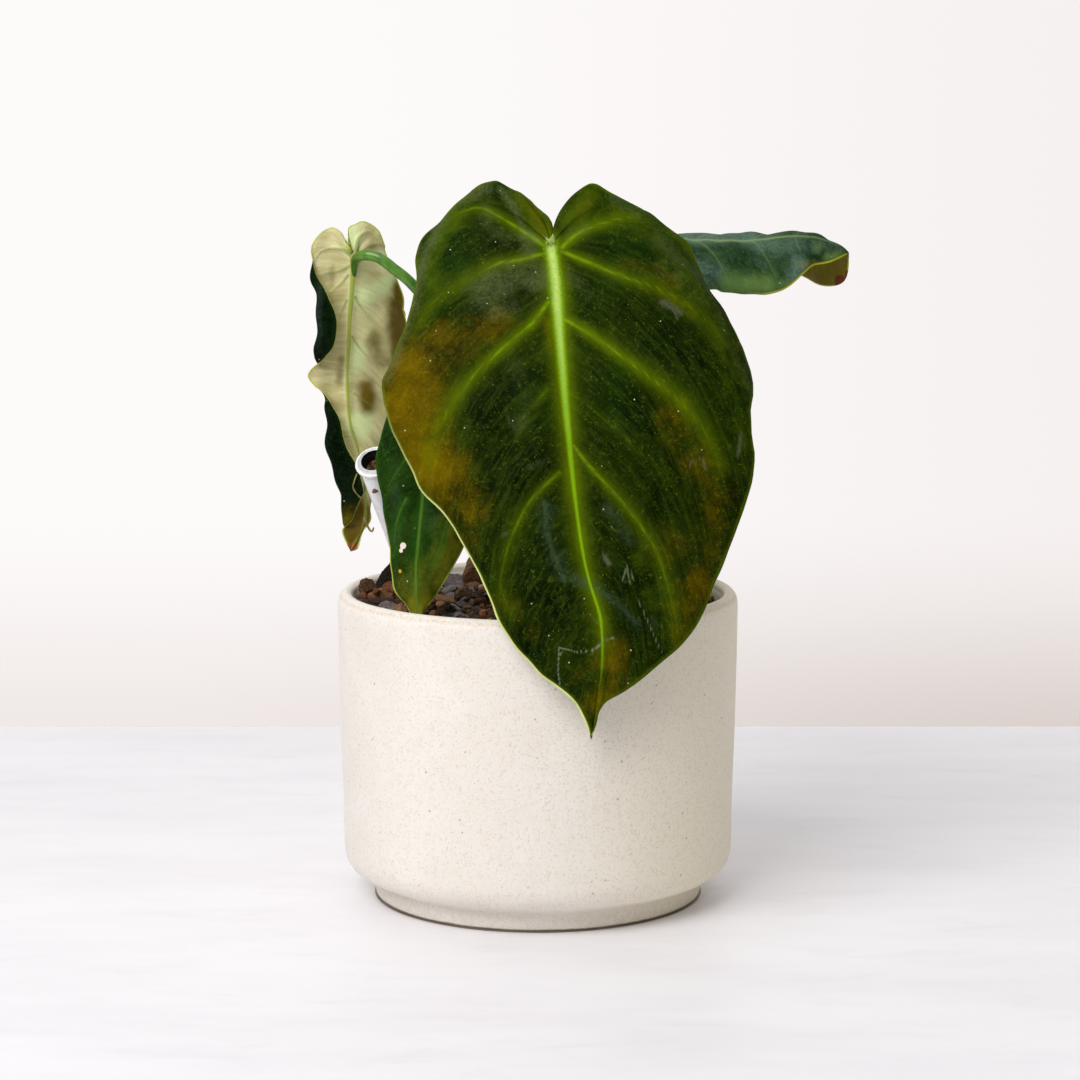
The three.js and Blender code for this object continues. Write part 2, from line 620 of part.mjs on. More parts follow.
addPart('pot', turned(potProfile, potSides), finish.stoneware);
addPart('bark_mix', toGeometry(mainBody(mix)), finish.bark);
addPart('stem', toGeometry(stem), finish.stem);
addPart('front_leaf', toGeometry(makeLeaf(frontLeaf, stemRoom)), finish.upperLeaf);
addPart('left_leaf', toGeometry(makeLeaf(leftLeaf, stemRoom)), finish.paleLeaf);
addPart('right_leaf', toGeometry(makeLeaf(rightLeaf, stemRoom)), finish.blueLeaf);
addPart('small_leaf', toGeometry(makeLeaf(smallLeaf, stemRoom)), finish.upperLeaf);
addPart('watering_tube', leaned(turned(tubeProfile, tubeSides)), finish.plastic);
addPart('tube_fill', leaned(turned(fillProfile, tubeSides)), finish.bark);

export default group;
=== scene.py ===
# A philodendron hybrid in a cream stoneware pot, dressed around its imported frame. Sizes are millimetres
# and are turned into metres where a mesh is made. X runs to the right, Y to the back and Z up from the
# pot's foot.
import math

import bpy
import numpy as np
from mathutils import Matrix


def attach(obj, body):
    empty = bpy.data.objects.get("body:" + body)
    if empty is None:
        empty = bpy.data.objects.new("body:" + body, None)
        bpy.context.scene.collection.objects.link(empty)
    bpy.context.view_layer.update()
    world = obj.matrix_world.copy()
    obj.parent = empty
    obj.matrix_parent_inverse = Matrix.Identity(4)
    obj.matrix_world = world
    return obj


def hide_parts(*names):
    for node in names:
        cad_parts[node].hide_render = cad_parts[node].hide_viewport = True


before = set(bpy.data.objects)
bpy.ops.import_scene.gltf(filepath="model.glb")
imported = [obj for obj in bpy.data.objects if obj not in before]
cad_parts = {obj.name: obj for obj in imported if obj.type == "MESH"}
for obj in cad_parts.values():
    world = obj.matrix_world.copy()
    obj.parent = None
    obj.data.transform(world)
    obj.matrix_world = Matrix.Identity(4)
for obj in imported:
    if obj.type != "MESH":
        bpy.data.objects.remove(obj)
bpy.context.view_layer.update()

world_scene = bpy.context.scene


# Camera
# The photograph's own view, found from the ellipses of the pot's rim and foot. The eye stands 1.118 m in
# front of the pot's axis and looks 8.1 degrees down through a 99 mm lens.
eye = np.array([0.8, -1118.0, 295.3])
camera_data = bpy.data.cameras.new("camera")
camera_data.sensor_width = 36
camera_data.lens = 99.03
camera = bpy.data.objects.new("camera", camera_data)
camera.location = eye / 1000
camera.rotation_euler = (math.radians(90 - 8.1), 0, 0)
world_scene.collection.objects.link(camera)
world_scene.camera = camera


# Pot
# A thick stoneware cylinder turned on a wheel, with a rounded rim, a rounded lower corner and a set-in foot.
# Its cream satin glaze is flecked with iron, breaks to tan on the shoulder and stops short of the foot.
pot_radius = 76.0
pot_height = 117.5
pot_wall = 5.6
pot_floor = 9.0
foot_radius = 62.6
foot_height = 7.6
bore = pot_radius - pot_wall
pot_sides = 240

inside_profile = [
    [bore, pot_height - 3], [bore - 0.5, pot_height - 10], [bore - 1.6, 60], [bore - 2.8, 22],
    [bore - 6, pot_floor + 2.6], [bore - 13, pot_floor],
]
pot_profile = [
    [0, 0], [30, 0], [foot_radius - 2.4, 0], [foot_radius - 0.8, 0.5], [foot_radius - 0.2, 1.3],
    [foot_radius, 3], [foot_radius, foot_height - 1.6], [foot_radius + 0.4, foot_height - 0.3],
    [foot_radius + 2.4, foot_height + 0.8], [69.4, 10.2], [72.3, 12.7], [73.8, 16], [74.3, 20.5],
    [74.5, 38], [75.1, 58], [75.6, 80], [75.9, 98], [pot_radius, 108], [pot_radius, pot_height - 4.6],
    [pot_radius - 0.5, pot_height - 2.3], [pot_radius - 1.6, pot_height - 0.7],
    [pot_radius - 2.9, pot_height], [bore + 1.3, pot_height - 0.3], [bore + 0.3, pot_height - 1.3],
    *inside_profile, [30, pot_floor], [0, pot_floor],
]


def curve_at(points, places):
    """Points of a smooth curve through a list: place 2.5 lies halfway between items 2 and 3. Between two
    neighbours it is the Catmull-Rom cubic through them, with the end items repeated past the ends."""
    points = np.asarray(points, float)
    places = np.asarray(places, float)
    last = len(points) - 1
    start = np.clip(np.floor(places).astype(int), 0, last - 1)
    f = np.clip(places - start, 0, 1)[..., None]
    before, here, there, beyond = (points[np.clip(start + k, 0, last)] for k in (-1, 0, 1, 2))
    return 0.5 * (2 * here + (there - before) * f
                  + (2 * before - 5 * here + 4 * there - beyond) * f ** 2
                  + (3 * here - before - 3 * there + beyond) * f ** 3)


def grid_triangles(rows, columns):
    """Two triangles for each cell of a grid of points stored row after row."""
    first = (np.arange(rows - 1)[:, None] * columns + np.arange(columns - 1)).ravel()
    a, b, c, d = first, first + 1, first + columns + 1, first + columns
    return np.concatenate([np.stack([a, b, c], 1), np.stack([a, c, d], 1)])


def welded(points, triangles, *fields):
    """The same surface with points closer than a tenth of a micron made one and flat triangles dropped."""
    rounded = np.round(points * 1e4).astype(np.int64)
    _, kept, number = np.unique(rounded, axis=0, return_index=True, return_inverse=True)
    corners = number.reshape(-1)[triangles]
    a, b, c = corners.T
    corners = corners[(a != b) & (b != c) & (c != a)]
    return points[kept], corners, *[field[kept] for field in fields]


def mesh_object(name, points, faces, smooth=True):
    """An object from an array of points in millimetres and an array of equal-sided faces."""
    mesh = bpy.data.meshes.new(name)
    mesh.vertices.add(len(points))
    mesh.vertices.foreach_set("co", (points / 1000).astype(np.float32).ravel())
    mesh.loops.add(faces.size)
    mesh.loops.foreach_set("vertex_index", faces.astype(np.int32).ravel())
    mesh.polygons.add(len(faces))
    mesh.polygons.foreach_set("loop_start", np.arange(len(faces), dtype=np.int32) * faces.shape[1])
    mesh.polygons.foreach_set("use_smooth", np.full(len(faces), smooth))
    mesh.update(calc_edges=True)
    made = bpy.data.objects.new(name, mesh)
    world_scene.collection.objects.link(made)
    return made


def turned(profile, sides, steps):
    """A profile of radius and height, smoothed between its points, carried once round the Z axis. Returns
    points and triangles whose front faces outwards when the profile runs up its outside."""
    line = curve_at(profile, np.linspace(0, len(profile) - 1, (len(profile) - 1) * steps + 1))
    angle = np.linspace(0, 2 * np.pi, sides + 1)
    radius, height = np.maximum(line[:, 0], 0)[:, None], line[:, 1][:, None]
    points = np.stack([radius * np.cos(angle), radius * np.sin(angle), height + 0 * angle], -1)
    return welded(points.reshape(-1, 3), grid_triangles(len(line), sides + 1))


def paint(red, green, blue):
    """A colour from 0 to 255 as it looks in the photograph, given as linear light."""
    shown = np.array([red, green, blue]) / 255
    light = np.where(shown <= 0.04045, shown / 12.92, ((shown + 0.055) / 1.055) ** 2.4)
    return (*light.tolist(), 1.0)


class Finish:
    """A material being put together. Each method adds one node and gives the socket that comes out of it."""

    def __init__(self, name, **shader_values):
        self.material = bpy.data.materials.new(name)
        self.material.use_nodes = True
        self.tree = self.material.node_tree
        self.shader = self.tree.nodes["Principled BSDF"]
        for socket, value in shader_values.items():
            self.shader.inputs[socket.replace("_", " ")].default_value = value

    def node(self, kind, inputs, output=0, **settings):
        made = self.tree.nodes.new("ShaderNode" + kind)
        for key, value in settings.items():
            setattr(made, key, value)
        for key, value in inputs.items():
            if isinstance(value, bpy.types.NodeSocket):
                self.tree.links.new(value, made.inputs[key])
            else:
                made.inputs[key].default_value = value
        return made.outputs[output]

    def place(self):
        """The point's place in millimetres."""
        place = self.node("TexCoord", {}, "Object")
        return self.node("VectorMath", {0: place, "Scale": 1000}, operation="SCALE")

    def attribute(self, name):
        return self.node("Attribute", {}, "Fac", attribute_name=name)

    def parts_of(self, vector):
        x = self.node("SeparateXYZ", {0: vector}, "X")
        split = x.node
        return x, split.outputs["Y"], split.outputs["Z"]

    def vector(self, x, y, z):
        return self.node("CombineXYZ", {0: x, 1: y, 2: z})

    def stretch(self, vector, x, y, z):
        return self.node("VectorMath", {0: vector, 1: (x, y, z)}, operation="MULTIPLY")

    def noise(self, vector, per_mm, detail=3.0, roughness=0.55, distortion=0.0):
        values = {"Vector": vector, "Scale": per_mm, "Detail": detail, "Roughness": roughness,
                  "Distortion": distortion}
        return self.node("TexNoise", values)

    def cells(self, vector, per_mm, output="Distance"):
        return self.node("TexVoronoi", {"Vector": vector, "Scale": per_mm}, output)

    def calc(self, operation, first, second=0.0):
        return self.node("Math", {0: first, 1: second}, operation=operation)

    def times(self, first, second):
        return self.calc("MULTIPLY", first, second)

    def plus(self, first, second):
        return self.calc("ADD", first, second)

    def off(self, value, level=0.5):
        """How far a value lies from a level, either way. For noise it is near zero along winding lines."""
        return self.calc("ABSOLUTE", self.calc("SUBTRACT", value, level))

    def swing(self, noise, amount):
        """A noise from 0 to 1 made to swing half an amount to either side of zero."""
        return self.times(self.calc("SUBTRACT", noise, 0.5), amount)

    def step(self, value, low, high, out_low=0.0, out_high=1.0):
        """out_low below low, out_high above high, and a smooth rise or fall between them."""
        values = {"Value": value, "From Min": low, "From Max": high, "To Min": out_low, "To Max": out_high}
        return self.node("MapRange", values, interpolation_type="SMOOTHSTEP")

    def mix(self, amount, first, second):
        """The first colour at amount 0 and the second at 1; sockets 6 and 7 are those two colours."""
        return self.node("Mix", {0: amount, 6: first, 7: second}, 2, data_type="RGBA")

    def bump(self, height, depth_mm, normal=None):
        values = {"Height": height, "Distance": depth_mm / 1000, "Strength": 1.0}
        if normal is not None:
            values["Normal"] = normal
        return self.node("Bump", values)

    def done(self, colour, roughness=None, normal=None):
        for socket, value in (("Base Color", colour), ("Roughness", roughness), ("Normal", normal)):
            if isinstance(value, bpy.types.NodeSocket):
                self.tree.links.new(value, self.shader.inputs[socket])
            elif value is not None:
                self.shader.inputs[socket].default_value = value
        return self.material


def glaze():
    """Cream glaze: slow warm and cool patches, short curled tan flecks, iron specks of two sizes, faint pale
    hairlines, a broken tan line where it thins on the shoulder, and bare brown clay under the foot."""
    f = Finish("cream_glaze", Specular_IOR_Level=0.3)
    place = f.place()
    sideways, _, height = f.parts_of(place)
    patches = f.noise(place, 0.03, 3)
    colour = f.mix(f.step(patches, 0.35, 0.68), paint(236, 230, 221), paint(240, 235, 228))
    # Painted warm shade: the glaze is a little tanner towards the right, the side turned away from the window
    colour = f.mix(f.step(sideways, -10, 66), colour, paint(240, 232, 210))
    colour = f.mix(f.step(f.noise(place, 0.3, 5, 0.6), 0.5, 0.72, 0, 0.3), colour, paint(230, 218, 203))
    # Curled flecks are short pieces of the level lines of twisted noise
    level_line = f.off(f.noise(place, 0.75, 2, 0.5, 2.4))
    kept = f.step(f.noise(place, 1.1, 2), 0.5, 0.6)
    curl = f.times(f.step(level_line, 0.01, 0.05, 1, 0), kept)
    colour = f.mix(f.times(curl, 0.7), colour, paint(206, 182, 154))
    fine = f.cells(place, 0.62)
    fine_tone = f.parts_of(f.cells(place, 0.62, "Color"))[0]
    fleck = f.times(f.step(fine, 0.08, 0.22, 1, 0), f.step(fine_tone, 0.5, 0.9))
    colour = f.mix(f.times(fleck, 0.6), colour, paint(190, 162, 132))
    coarse = f.cells(place, 0.16)
    coarse_tone = f.parts_of(f.cells(place, 0.16, "Color"))[1]
    spot = f.times(f.step(coarse, 0.045, 0.09, 1, 0), f.step(coarse_tone, 0.4, 0.6))
    colour = f.mix(f.times(spot, 0.65), colour, paint(160, 128, 98))
    lines = f.off(f.noise(place, 0.22, 2, 0.5, 1.2))
    hair = f.times(f.step(lines, 0.0, 0.006, 1, 0), f.step(f.noise(place, 0.06), 0.5, 0.62))
    colour = f.mix(f.times(hair, 0.4), colour, paint(250, 247, 242))
    # The shoulder line and the foot follow height, broken up by noise
    level = f.plus(height, f.swing(f.noise(place, 0.09, 3), 0.9))
    off_shoulder = f.off(level, pot_height - 1.6)
    broken = f.step(f.noise(place, 0.9, 4), 0.4, 0.64, 0.3, 1)
    shoulder = f.times(f.step(off_shoulder, 0.0, 1.2, 1, 0), broken)
    colour = f.mix(f.times(shoulder, 0.5), colour, paint(206, 176, 140))
    # A patchy, slightly darker band low on the foot
    foot_band_darkening = f.times(f.step(level, 4.5, 9.5, 1, 0), f.step(f.noise(place, 0.5, 4), 0.3, 0.7))
    colour = f.mix(f.times(foot_band_darkening, 0.18), colour, paint(196, 180, 158))
    bare = f.step(level, 0.5, 1.4, 0.9, 0)
    colour = f.mix(bare, colour, paint(100, 80, 58))
    roughness = f.step(patches, 0.2, 0.8, 0.44, 0.58)
    pits = f.plus(f.times(f.noise(place, 1.6, 3), 0.5), f.times(curl, -0.3))
    normal = f.bump(pits, 0.06, f.bump(f.noise(place, 0.06, 2), 0.6))
    return f.done(colour, roughness, normal)


pot_points, pot_triangles = turned(pot_profile, pot_sides, 4)
pot = mesh_object("pot_body", pot_points, pot_triangles)
pot.data.materials.append(glaze())
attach(pot, "root")
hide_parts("pot")


# Bark mix
# A bed of dark soil with bark chips, grey stones, fired clay pellets, charcoal and crumbs lying on and in it,
# poured in loose to about 8 mm under the rim. Each chip is a ball cut by a few random planes.
soil_level = 109.5
gap = 0.3
bed_radius = bore - 0.5 - gap
bed_rings = 90
bed_sectors = 220
draw = np.random.default_rng(20417)


def bed_height(x, y):
    """A low mound, as the cosine of the distance from the middle, with a few soft hollows."""
    mound = 3.2 * np.cos(np.hypot(x, y) / bore * 1.45)
    hollows = 0.9 * np.sin(x * 0.21 + 1.3) * np.cos(y * 0.19 - 0.4)
    return soil_level - 1.5 + mound + hollows


def soil_bed():
    """The bed's top as rings of points, lumpy by a sum of short waves, then its side down the pot's inside
    wall and its bottom on the pot's floor."""
    angle = np.linspace(0, 2 * np.pi, bed_sectors + 1)
    radius = np.linspace(0, bed_radius, bed_rings)[:, None]
    x, y = radius * np.cos(angle), radius * np.sin(angle)
    lumps = np.zeros_like(x)
    for wave in range(10):
        turn = 2.4 * wave
        along = x * np.cos(turn) + y * np.sin(turn)
        lumps += np.sin(along * (0.5 + 0.13 * wave) + 1.7 * wave ** 2)
    edge = np.clip((bed_radius - radius) / 6, 0, 1)
    top = np.stack([x, y, bed_height(x, y) + 0.22 * lumps * edge], -1)
    wall = [[r - gap, z + gap] for r, z in inside_profile[2:]] + [[0, pot_floor + gap]]
    side = [np.stack([r * np.cos(angle), r * np.sin(angle), np.full_like(angle, z)], -1) for r, z in wall]
    rows = np.concatenate([top, np.stack(side)])
    triangles = grid_triangles(len(rows), bed_sectors + 1)[:, ::-1]
    return welded(rows.reshape(-1, 3), triangles)


def ball(levels):
    """A ball of unit radius: the icosahedron's 12 corners, with each triangle cut into four per level."""
    g = (1 + 5 ** 0.5) / 2
    corners = [[0, 1, g], [0, -1, g], [0, 1, -g], [0, -1, -g], [1, g, 0], [-1, g, 0]]
    corners += [[1, -g, 0], [-1, -g, 0], [g, 0, 1], [-g, 0, 1], [g, 0, -1], [-g, 0, -1]]
    points = np.array(corners, float) / math.hypot(1, g)
    distance = np.linalg.norm(points[:, None] - points[None], axis=2)
    near = np.abs(distance - 2 / math.hypot(1, g)) < 1e-6
    triangles = [[a, b, c] for a in range(12) for b in range(a) for c in range(b)
                 if near[a, b] and near[b, c] and near[a, c]]
    triangles = np.array(triangles)
    a, b, c = (points[triangles[:, k]] for k in range(3))
    inward = np.einsum("ij,ij->i", np.cross(b - a, c - a), a) < 0
    triangles[inward] = triangles[inward][:, ::-1]
    for _ in range(levels):
        a, b, c = (points[triangles[:, k]] for k in range(3))
        ab, bc, ca = (m / np.linalg.norm(m, axis=1)[:, None] for m in (a + b, b + c, c + a))
        quarters = ((a, ab, ca), (ab, b, bc), (ca, bc, c), (ab, bc, ca))
        soup = np.concatenate([np.stack(quarter, 1) for quarter in quarters])
        points, triangles = welded(soup.reshape(-1, 3), np.arange(len(soup) * 3).reshape(-1, 3))
    return points, triangles


def set_field(target, name, values):
    """Stores one number for each point of a mesh, for its material to read."""
    field = target.data.attributes.new(name, "FLOAT", "POINT")
    field.data.foreach_set("value", np.asarray(values, np.float32))


def turn_matrices(turn, tilt, roll):
    """Rotations by roll about X, then tilt about Y, then turn about Z, one for each chip."""
    ct, st = np.cos(turn), np.sin(turn)
    cy, sy = np.cos(tilt), np.sin(tilt)
    cx, sx = np.cos(roll), np.sin(roll)
    rows = [[ct * cy, ct * sy * sx - st * cx, ct * sy * cx + st * sx],
            [st * cy, st * sy * sx + ct * cx, st * sy * cx - ct * sx],
            [-sy, cy * sx, cy * cx]]
    return np.moveaxis(np.array(rows), 2, 0)


def cut_chips(name, places, sizes, turns, levels, planes=11, roughness=0.05, node="bark_mix"):
    """Every chip is a ball whose radius in each direction is that of the nearest of a few random planes, so
    it has flat broken sides. It is then scaled to its size, turned and moved to its place."""
    directions, triangles = ball(levels)
    count = len(places)
    plane = draw.normal(size=(count, planes, 3))
    plane /= np.linalg.norm(plane, axis=2)[..., None]
    distance = draw.uniform(0.55, 0.95, (count, 1, planes))
    facing = np.einsum("vi,cpi->cvp", directions, plane)
    least_facing, uncut = 0.1, 1.15
    reach = distance / np.maximum(facing, least_facing)
    radius = np.min(np.where(facing > least_facing, reach, uncut), axis=2)
    radius = np.minimum(radius, uncut) * (1 + draw.uniform(-roughness, roughness, radius.shape))
    shape = directions * radius[..., None] * sizes[:, None] / 2
    points = np.einsum("cij,cvj->cvi", turn_matrices(*turns), shape) + places[:, None]
    corners = (triangles[None] + np.arange(count)[:, None, None] * len(directions)).reshape(-1, 3)
    made = mesh_object(name, points.reshape(-1, 3), corners, smooth=False)
    set_field(made, "tone", np.repeat(draw.random(count), len(directions)))
    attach(made, "root")
    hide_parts(node)
    return made


def crumbly(name, dark, middle, light, roughness, grain, depth_mm, specular=0.3):
    """Broken natural stuff: each chip's own tone picks a colour from dark to light, streaked by a stretched
    noise, with pale dust in places and a rough broken surface."""
    f = Finish(name, Specular_IOR_Level=specular)
    place = f.place()
    streaks = f.noise(f.stretch(place, *grain), 1.0, 5, 0.65, 0.4)
    tone = f.plus(f.attribute("tone"), f.swing(streaks, 1.4))
    colour = f.mix(f.step(tone, 0.0, 0.55), dark, middle)
    colour = f.mix(f.step(tone, 0.5, 1.1), colour, light)
    dust = f.times(f.step(f.noise(place, 1.8, 3), 0.6, 0.75), 0.35)
    colour = f.mix(dust, colour, light)
    relief = f.plus(streaks, f.times(f.noise(place, 3.0, 3), 0.5))
    return f.done(colour, roughness, f.bump(relief, depth_mm))


bark_finish = crumbly("bark_brown", paint(24, 15, 9), paint(78, 52, 32), paint(156, 114, 74), 0.85,
                      (0.35, 1.6, 1.6), 0.7)
stone_finish = crumbly("stone_grey", paint(88, 74, 66), paint(136, 126, 126), paint(190, 180, 178), 0.8,
                       (0.8, 0.8, 0.8), 0.5)
clay_finish = crumbly("clay_pellet", paint(92, 52, 28), paint(138, 88, 52), paint(190, 140, 94), 0.75,
                      (0.9, 0.9, 0.9), 0.35)
charcoal_finish = crumbly("charcoal", paint(14, 13, 14), paint(32, 30, 32), paint(66, 62, 62), 0.45,
                          (0.6, 0.6, 1.2), 0.3, 0.5)
soil_finish = crumbly("dark_soil", paint(10, 7, 5), paint(30, 20, 13), paint(76, 54, 36), 0.95,
                      (0.7, 0.7, 0.7), 1.2)

bed_points, bed_triangles = soil_bed()
bed = mesh_object("soil_bed", bed_points, bed_triangles)
set_field(bed, "tone", np.full(len(bed_points), 0.25))
bed.data.materials.append(soil_finish)
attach(bed, "root")
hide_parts("bark_mix")

# The pieces that show at the front: kind, place, size, and turn and tilt in radians
shown_chips = [
    ["bark", [-59, 26, 117], [7, 5, 17], 0.4, 0.25],
    ["bark", [-65, 10, 115.5], [10, 6, 9], 1.2, -0.5],
    ["bark", [-61, 9, 112], [13, 11, 8], 0.9, 0.2],
    ["bark", [-61, -6, 112.5], [14, 9, 5.5], 0.3, 0.1],
    ["stone", [-55.5, -12, 111.5], [10, 8, 6], -0.3, 0],
    ["stone", [-32, 30, 114.5], [9, 7, 12], 0.2, 0.15],
    ["stone", [-33, 23, 112], [12, 8, 6], 0.3, -0.35],
    ["charcoal", [-34, 12, 111], [8, 6, 6], 0, 0],
    ["bark", [-25, 2, 112.5], [12, 9, 9], 0.3, 0.1],
    ["bark", [-26, 46, 116], [10, 8, 17], 0.9, 0.3],
    ["bark", [-17, 20, 114], [9, 7, 8], 0.9, 0.3],
    ["clay", [-20, -14, 112], [4.4, 4.2, 4], 0, 0],
    ["clay", [-18, -20, 111.5], [4, 4, 3.8], 0, 0],
    ["clay", [-57, 12, 115.5], [6, 5, 5], 0.4, 0],
    ["clay", [-66.5, 0, 114.6], [3.6, 3.4, 3.4], 0, 0],
    ["clay", [-61.5, 4, 115.6], [3.2, 3, 3], 0, 0],
]
# Spots that stay free of chips, each x, y and radius: the stem, the small leaf's tip and the watering tube
clear_spots = [[1, 7, 9], [-44.5, -49, 5], [-43, 32, 9], [-47, 24, 8]]
kinds = {"bark": bark_finish, "stone": stone_finish, "clay": clay_finish, "charcoal": charcoal_finish}


def scattered(spacing, jitter, clear):
    """Places on a jittered triangular grid over the bed, away from the wall and the clear spots."""
    reach = int(bore / spacing) + 1
    row, column = np.meshgrid(np.arange(-reach, reach + 1), np.arange(-reach, reach + 1), indexing="ij")
    x = (column + (row % 2) / 2) * spacing + draw.uniform(-jitter, jitter, row.shape)
    y = row * spacing * 0.87 + draw.uniform(-jitter, jitter, row.shape)
    free = np.hypot(x, y) < bore - clear
    for spot_x, spot_y, radius in clear_spots:
        free &= np.hypot(x - spot_x, y - spot_y) > radius
    return x[free], y[free]


def strew(kind, spacing, jitter, share, size_low, size_high, lift, levels):
    """Lays one kind of piece over the bed: a share of a scattered set, each with its own size and turn."""
    x, y = scattered(spacing, jitter, size_high[0] * 0.45 + 0.6)
    chosen = draw.random(len(x)) < share
    x, y = x[chosen], y[chosen]
    places = np.stack([x, y, bed_height(x, y) + draw.uniform(*lift, len(x))], 1)
    sizes = draw.uniform(size_low, size_high, (len(x), 3))
    turns = [draw.uniform(0, math.pi, len(x)), draw.normal(0, 0.3, len(x)), draw.normal(0, 0.3, len(x))]
    made = cut_chips(f"strewn_{kind}_{levels}", places, sizes, turns, levels)
    made.data.materials.append(kinds[kind])


for kind, finish in kinds.items():
    shown = [chip for chip in shown_chips if chip[0] == kind]
    places, sizes = (np.array([chip[k] for chip in shown], float) for k in (1, 2))
    turn, tilt = (np.array([chip[k] for chip in shown], float) for k in (3, 4))
    cut_chips(f"shown_{kind}", places, sizes, [turn, tilt, tilt * 0.5], 3).data.materials.append(finish)
strew("bark", 9.0, 2.6, 0.6, [8, 6, 3.5], [15, 10, 7], (-1.5, 2.0), 2)
strew("stone", 13.0, 4.0, 0.35, [6, 5, 4], [11, 9, 7], (0, 3.0), 2)
strew("clay", 10.0, 4.0, 0.35, [3, 3, 3], [5, 5, 4.5], (1.5, 4.0), 1)
strew("charcoal", 14.0, 4.0, 0.35, [5, 4, 3], [9, 7, 5], (1, 3.0), 2)
strew("bark", 3.4, 1.6, 0.8, [1.6, 1.2, 0.8], [4.6, 3.2, 2.4], (0, 3.6), 1)


# Stem
# The short green climbing stem that the leaf stalks grow from, rooted in the mix, ringed with papery brown
# scars at its nodes and pointed where the next leaf will open.
stem_radius = 5.6
stem_path = [
    [2, 7, 86, stem_radius], [1.5, 7, 100, stem_radius], [1, 7, 112, stem_radius + 0.6],
    [0.6, 6.8, 118, stem_radius - 0.4], [0.3, 6.6, 124, stem_radius + 0.4],
    [0, 6.4, 129, stem_radius - 0.7], [0, 6.2, 134, stem_radius + 0.1],
    [-0.2, 6, 140, stem_radius - 1], [-0.4, 5.8, 146, stem_radius - 0.6],
    [-0.6, 5.6, 154, stem_radius - 2.4], [-0.6, 5.6, 164, 1],
]


def swept(path, sides, steps, never, groove=0.0, rings=()):
    """A round section carried along a smooth path of x, y, z and radius, closed to a point at both ends. Its
    start angle faces a direction that the path never runs along; a groove flattens it there, and rings
    swell it at the named places. Returns points, triangles and each point's place along the path."""
    place = np.linspace(0, len(path) - 1, (len(path) - 1) * steps + 1)
    line = curve_at(path, place)
    centre, radius = line[:, :3], line[:, 3]
    for ring, swell, width in rings:
        radius = radius * (1 + swell * np.exp(-((place - ring) / width) ** 2))
    ahead = np.gradient(centre, axis=0)
    ahead /= np.linalg.norm(ahead, axis=1)[:, None]
    across = np.array(never, float) - ahead * (ahead @ np.array(never, float))[:, None]
    across /= np.linalg.norm(across, axis=1)[:, None]
    third = np.cross(ahead, across)
    angle = np.linspace(0, 2 * np.pi, sides + 1)
    from_groove = np.minimum(angle, 2 * np.pi - angle)
    shape = 1 - groove * np.exp(-(from_groove / 0.6) ** 2)
    out = across[:, None] * np.cos(angle)[:, None] + third[:, None] * np.sin(angle)[:, None]
    points = centre[:, None] + out * (radius[:, None] * shape)[..., None]
    points = np.concatenate([np.repeat(centre[None, :1], sides + 1, 1), points,
                             np.repeat(centre[None, -1:], sides + 1, 1)])
    places = np.repeat(np.concatenate([place[:1], place, place[-1:]])[:, None], sides + 1, 1)
    triangles = grid_triangles(len(points), sides + 1)
    return welded(points.reshape(-1, 3), triangles, places.reshape(-1))


def stem_skin():
    """Green skin with fine lengthwise streaks, tan papery rings at the nodes and a pale pointed bud."""
    f = Finish("stem_skin", Specular_IOR_Level=0.4)
    place, node_place = f.place(), f.attribute("along")
    streaks = f.noise(f.stretch(place, 1.0, 1.0, 0.12), 1.2, 4)
    colour = f.mix(f.step(streaks, 0.3, 0.7), paint(58, 84, 30), paint(98, 122, 48))
    for ring in (3, 5, 7):
        off_ring = f.off(node_place, ring + 0.1)
        ragged = f.plus(off_ring, f.swing(f.noise(place, 0.5, 3), 0.5))
        colour = f.mix(f.step(ragged, 0.1, 0.3, 1, 0), colour, paint(132, 100, 62))
    colour = f.mix(f.step(node_place, 8.4, 9.6), colour, paint(150, 166, 84))
    return f.done(colour, 0.5, f.bump(streaks, 0.25))


stem_points, stem_triangles, stem_places = swept(
    stem_path, 40, 14, (0, 1, 0), rings=[(3, 0.05, 0.12), (5, 0.07, 0.12), (7, 0.07, 0.12)])
stem = mesh_object("climbing_stem", stem_points, stem_triangles)
set_field(stem, "along", stem_places)
stem.data.materials.append(stem_skin())
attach(stem, "root")
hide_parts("stem")


# Front leaf
# The large velvety leaf that faces the viewer: a heart-shaped blade 0.7 mm thick, puckered between glowing
# yellow-green veins, on a stalk that rises behind it. Blade, rib and stalk have grown as one piece.
blade_thickness = 0.7

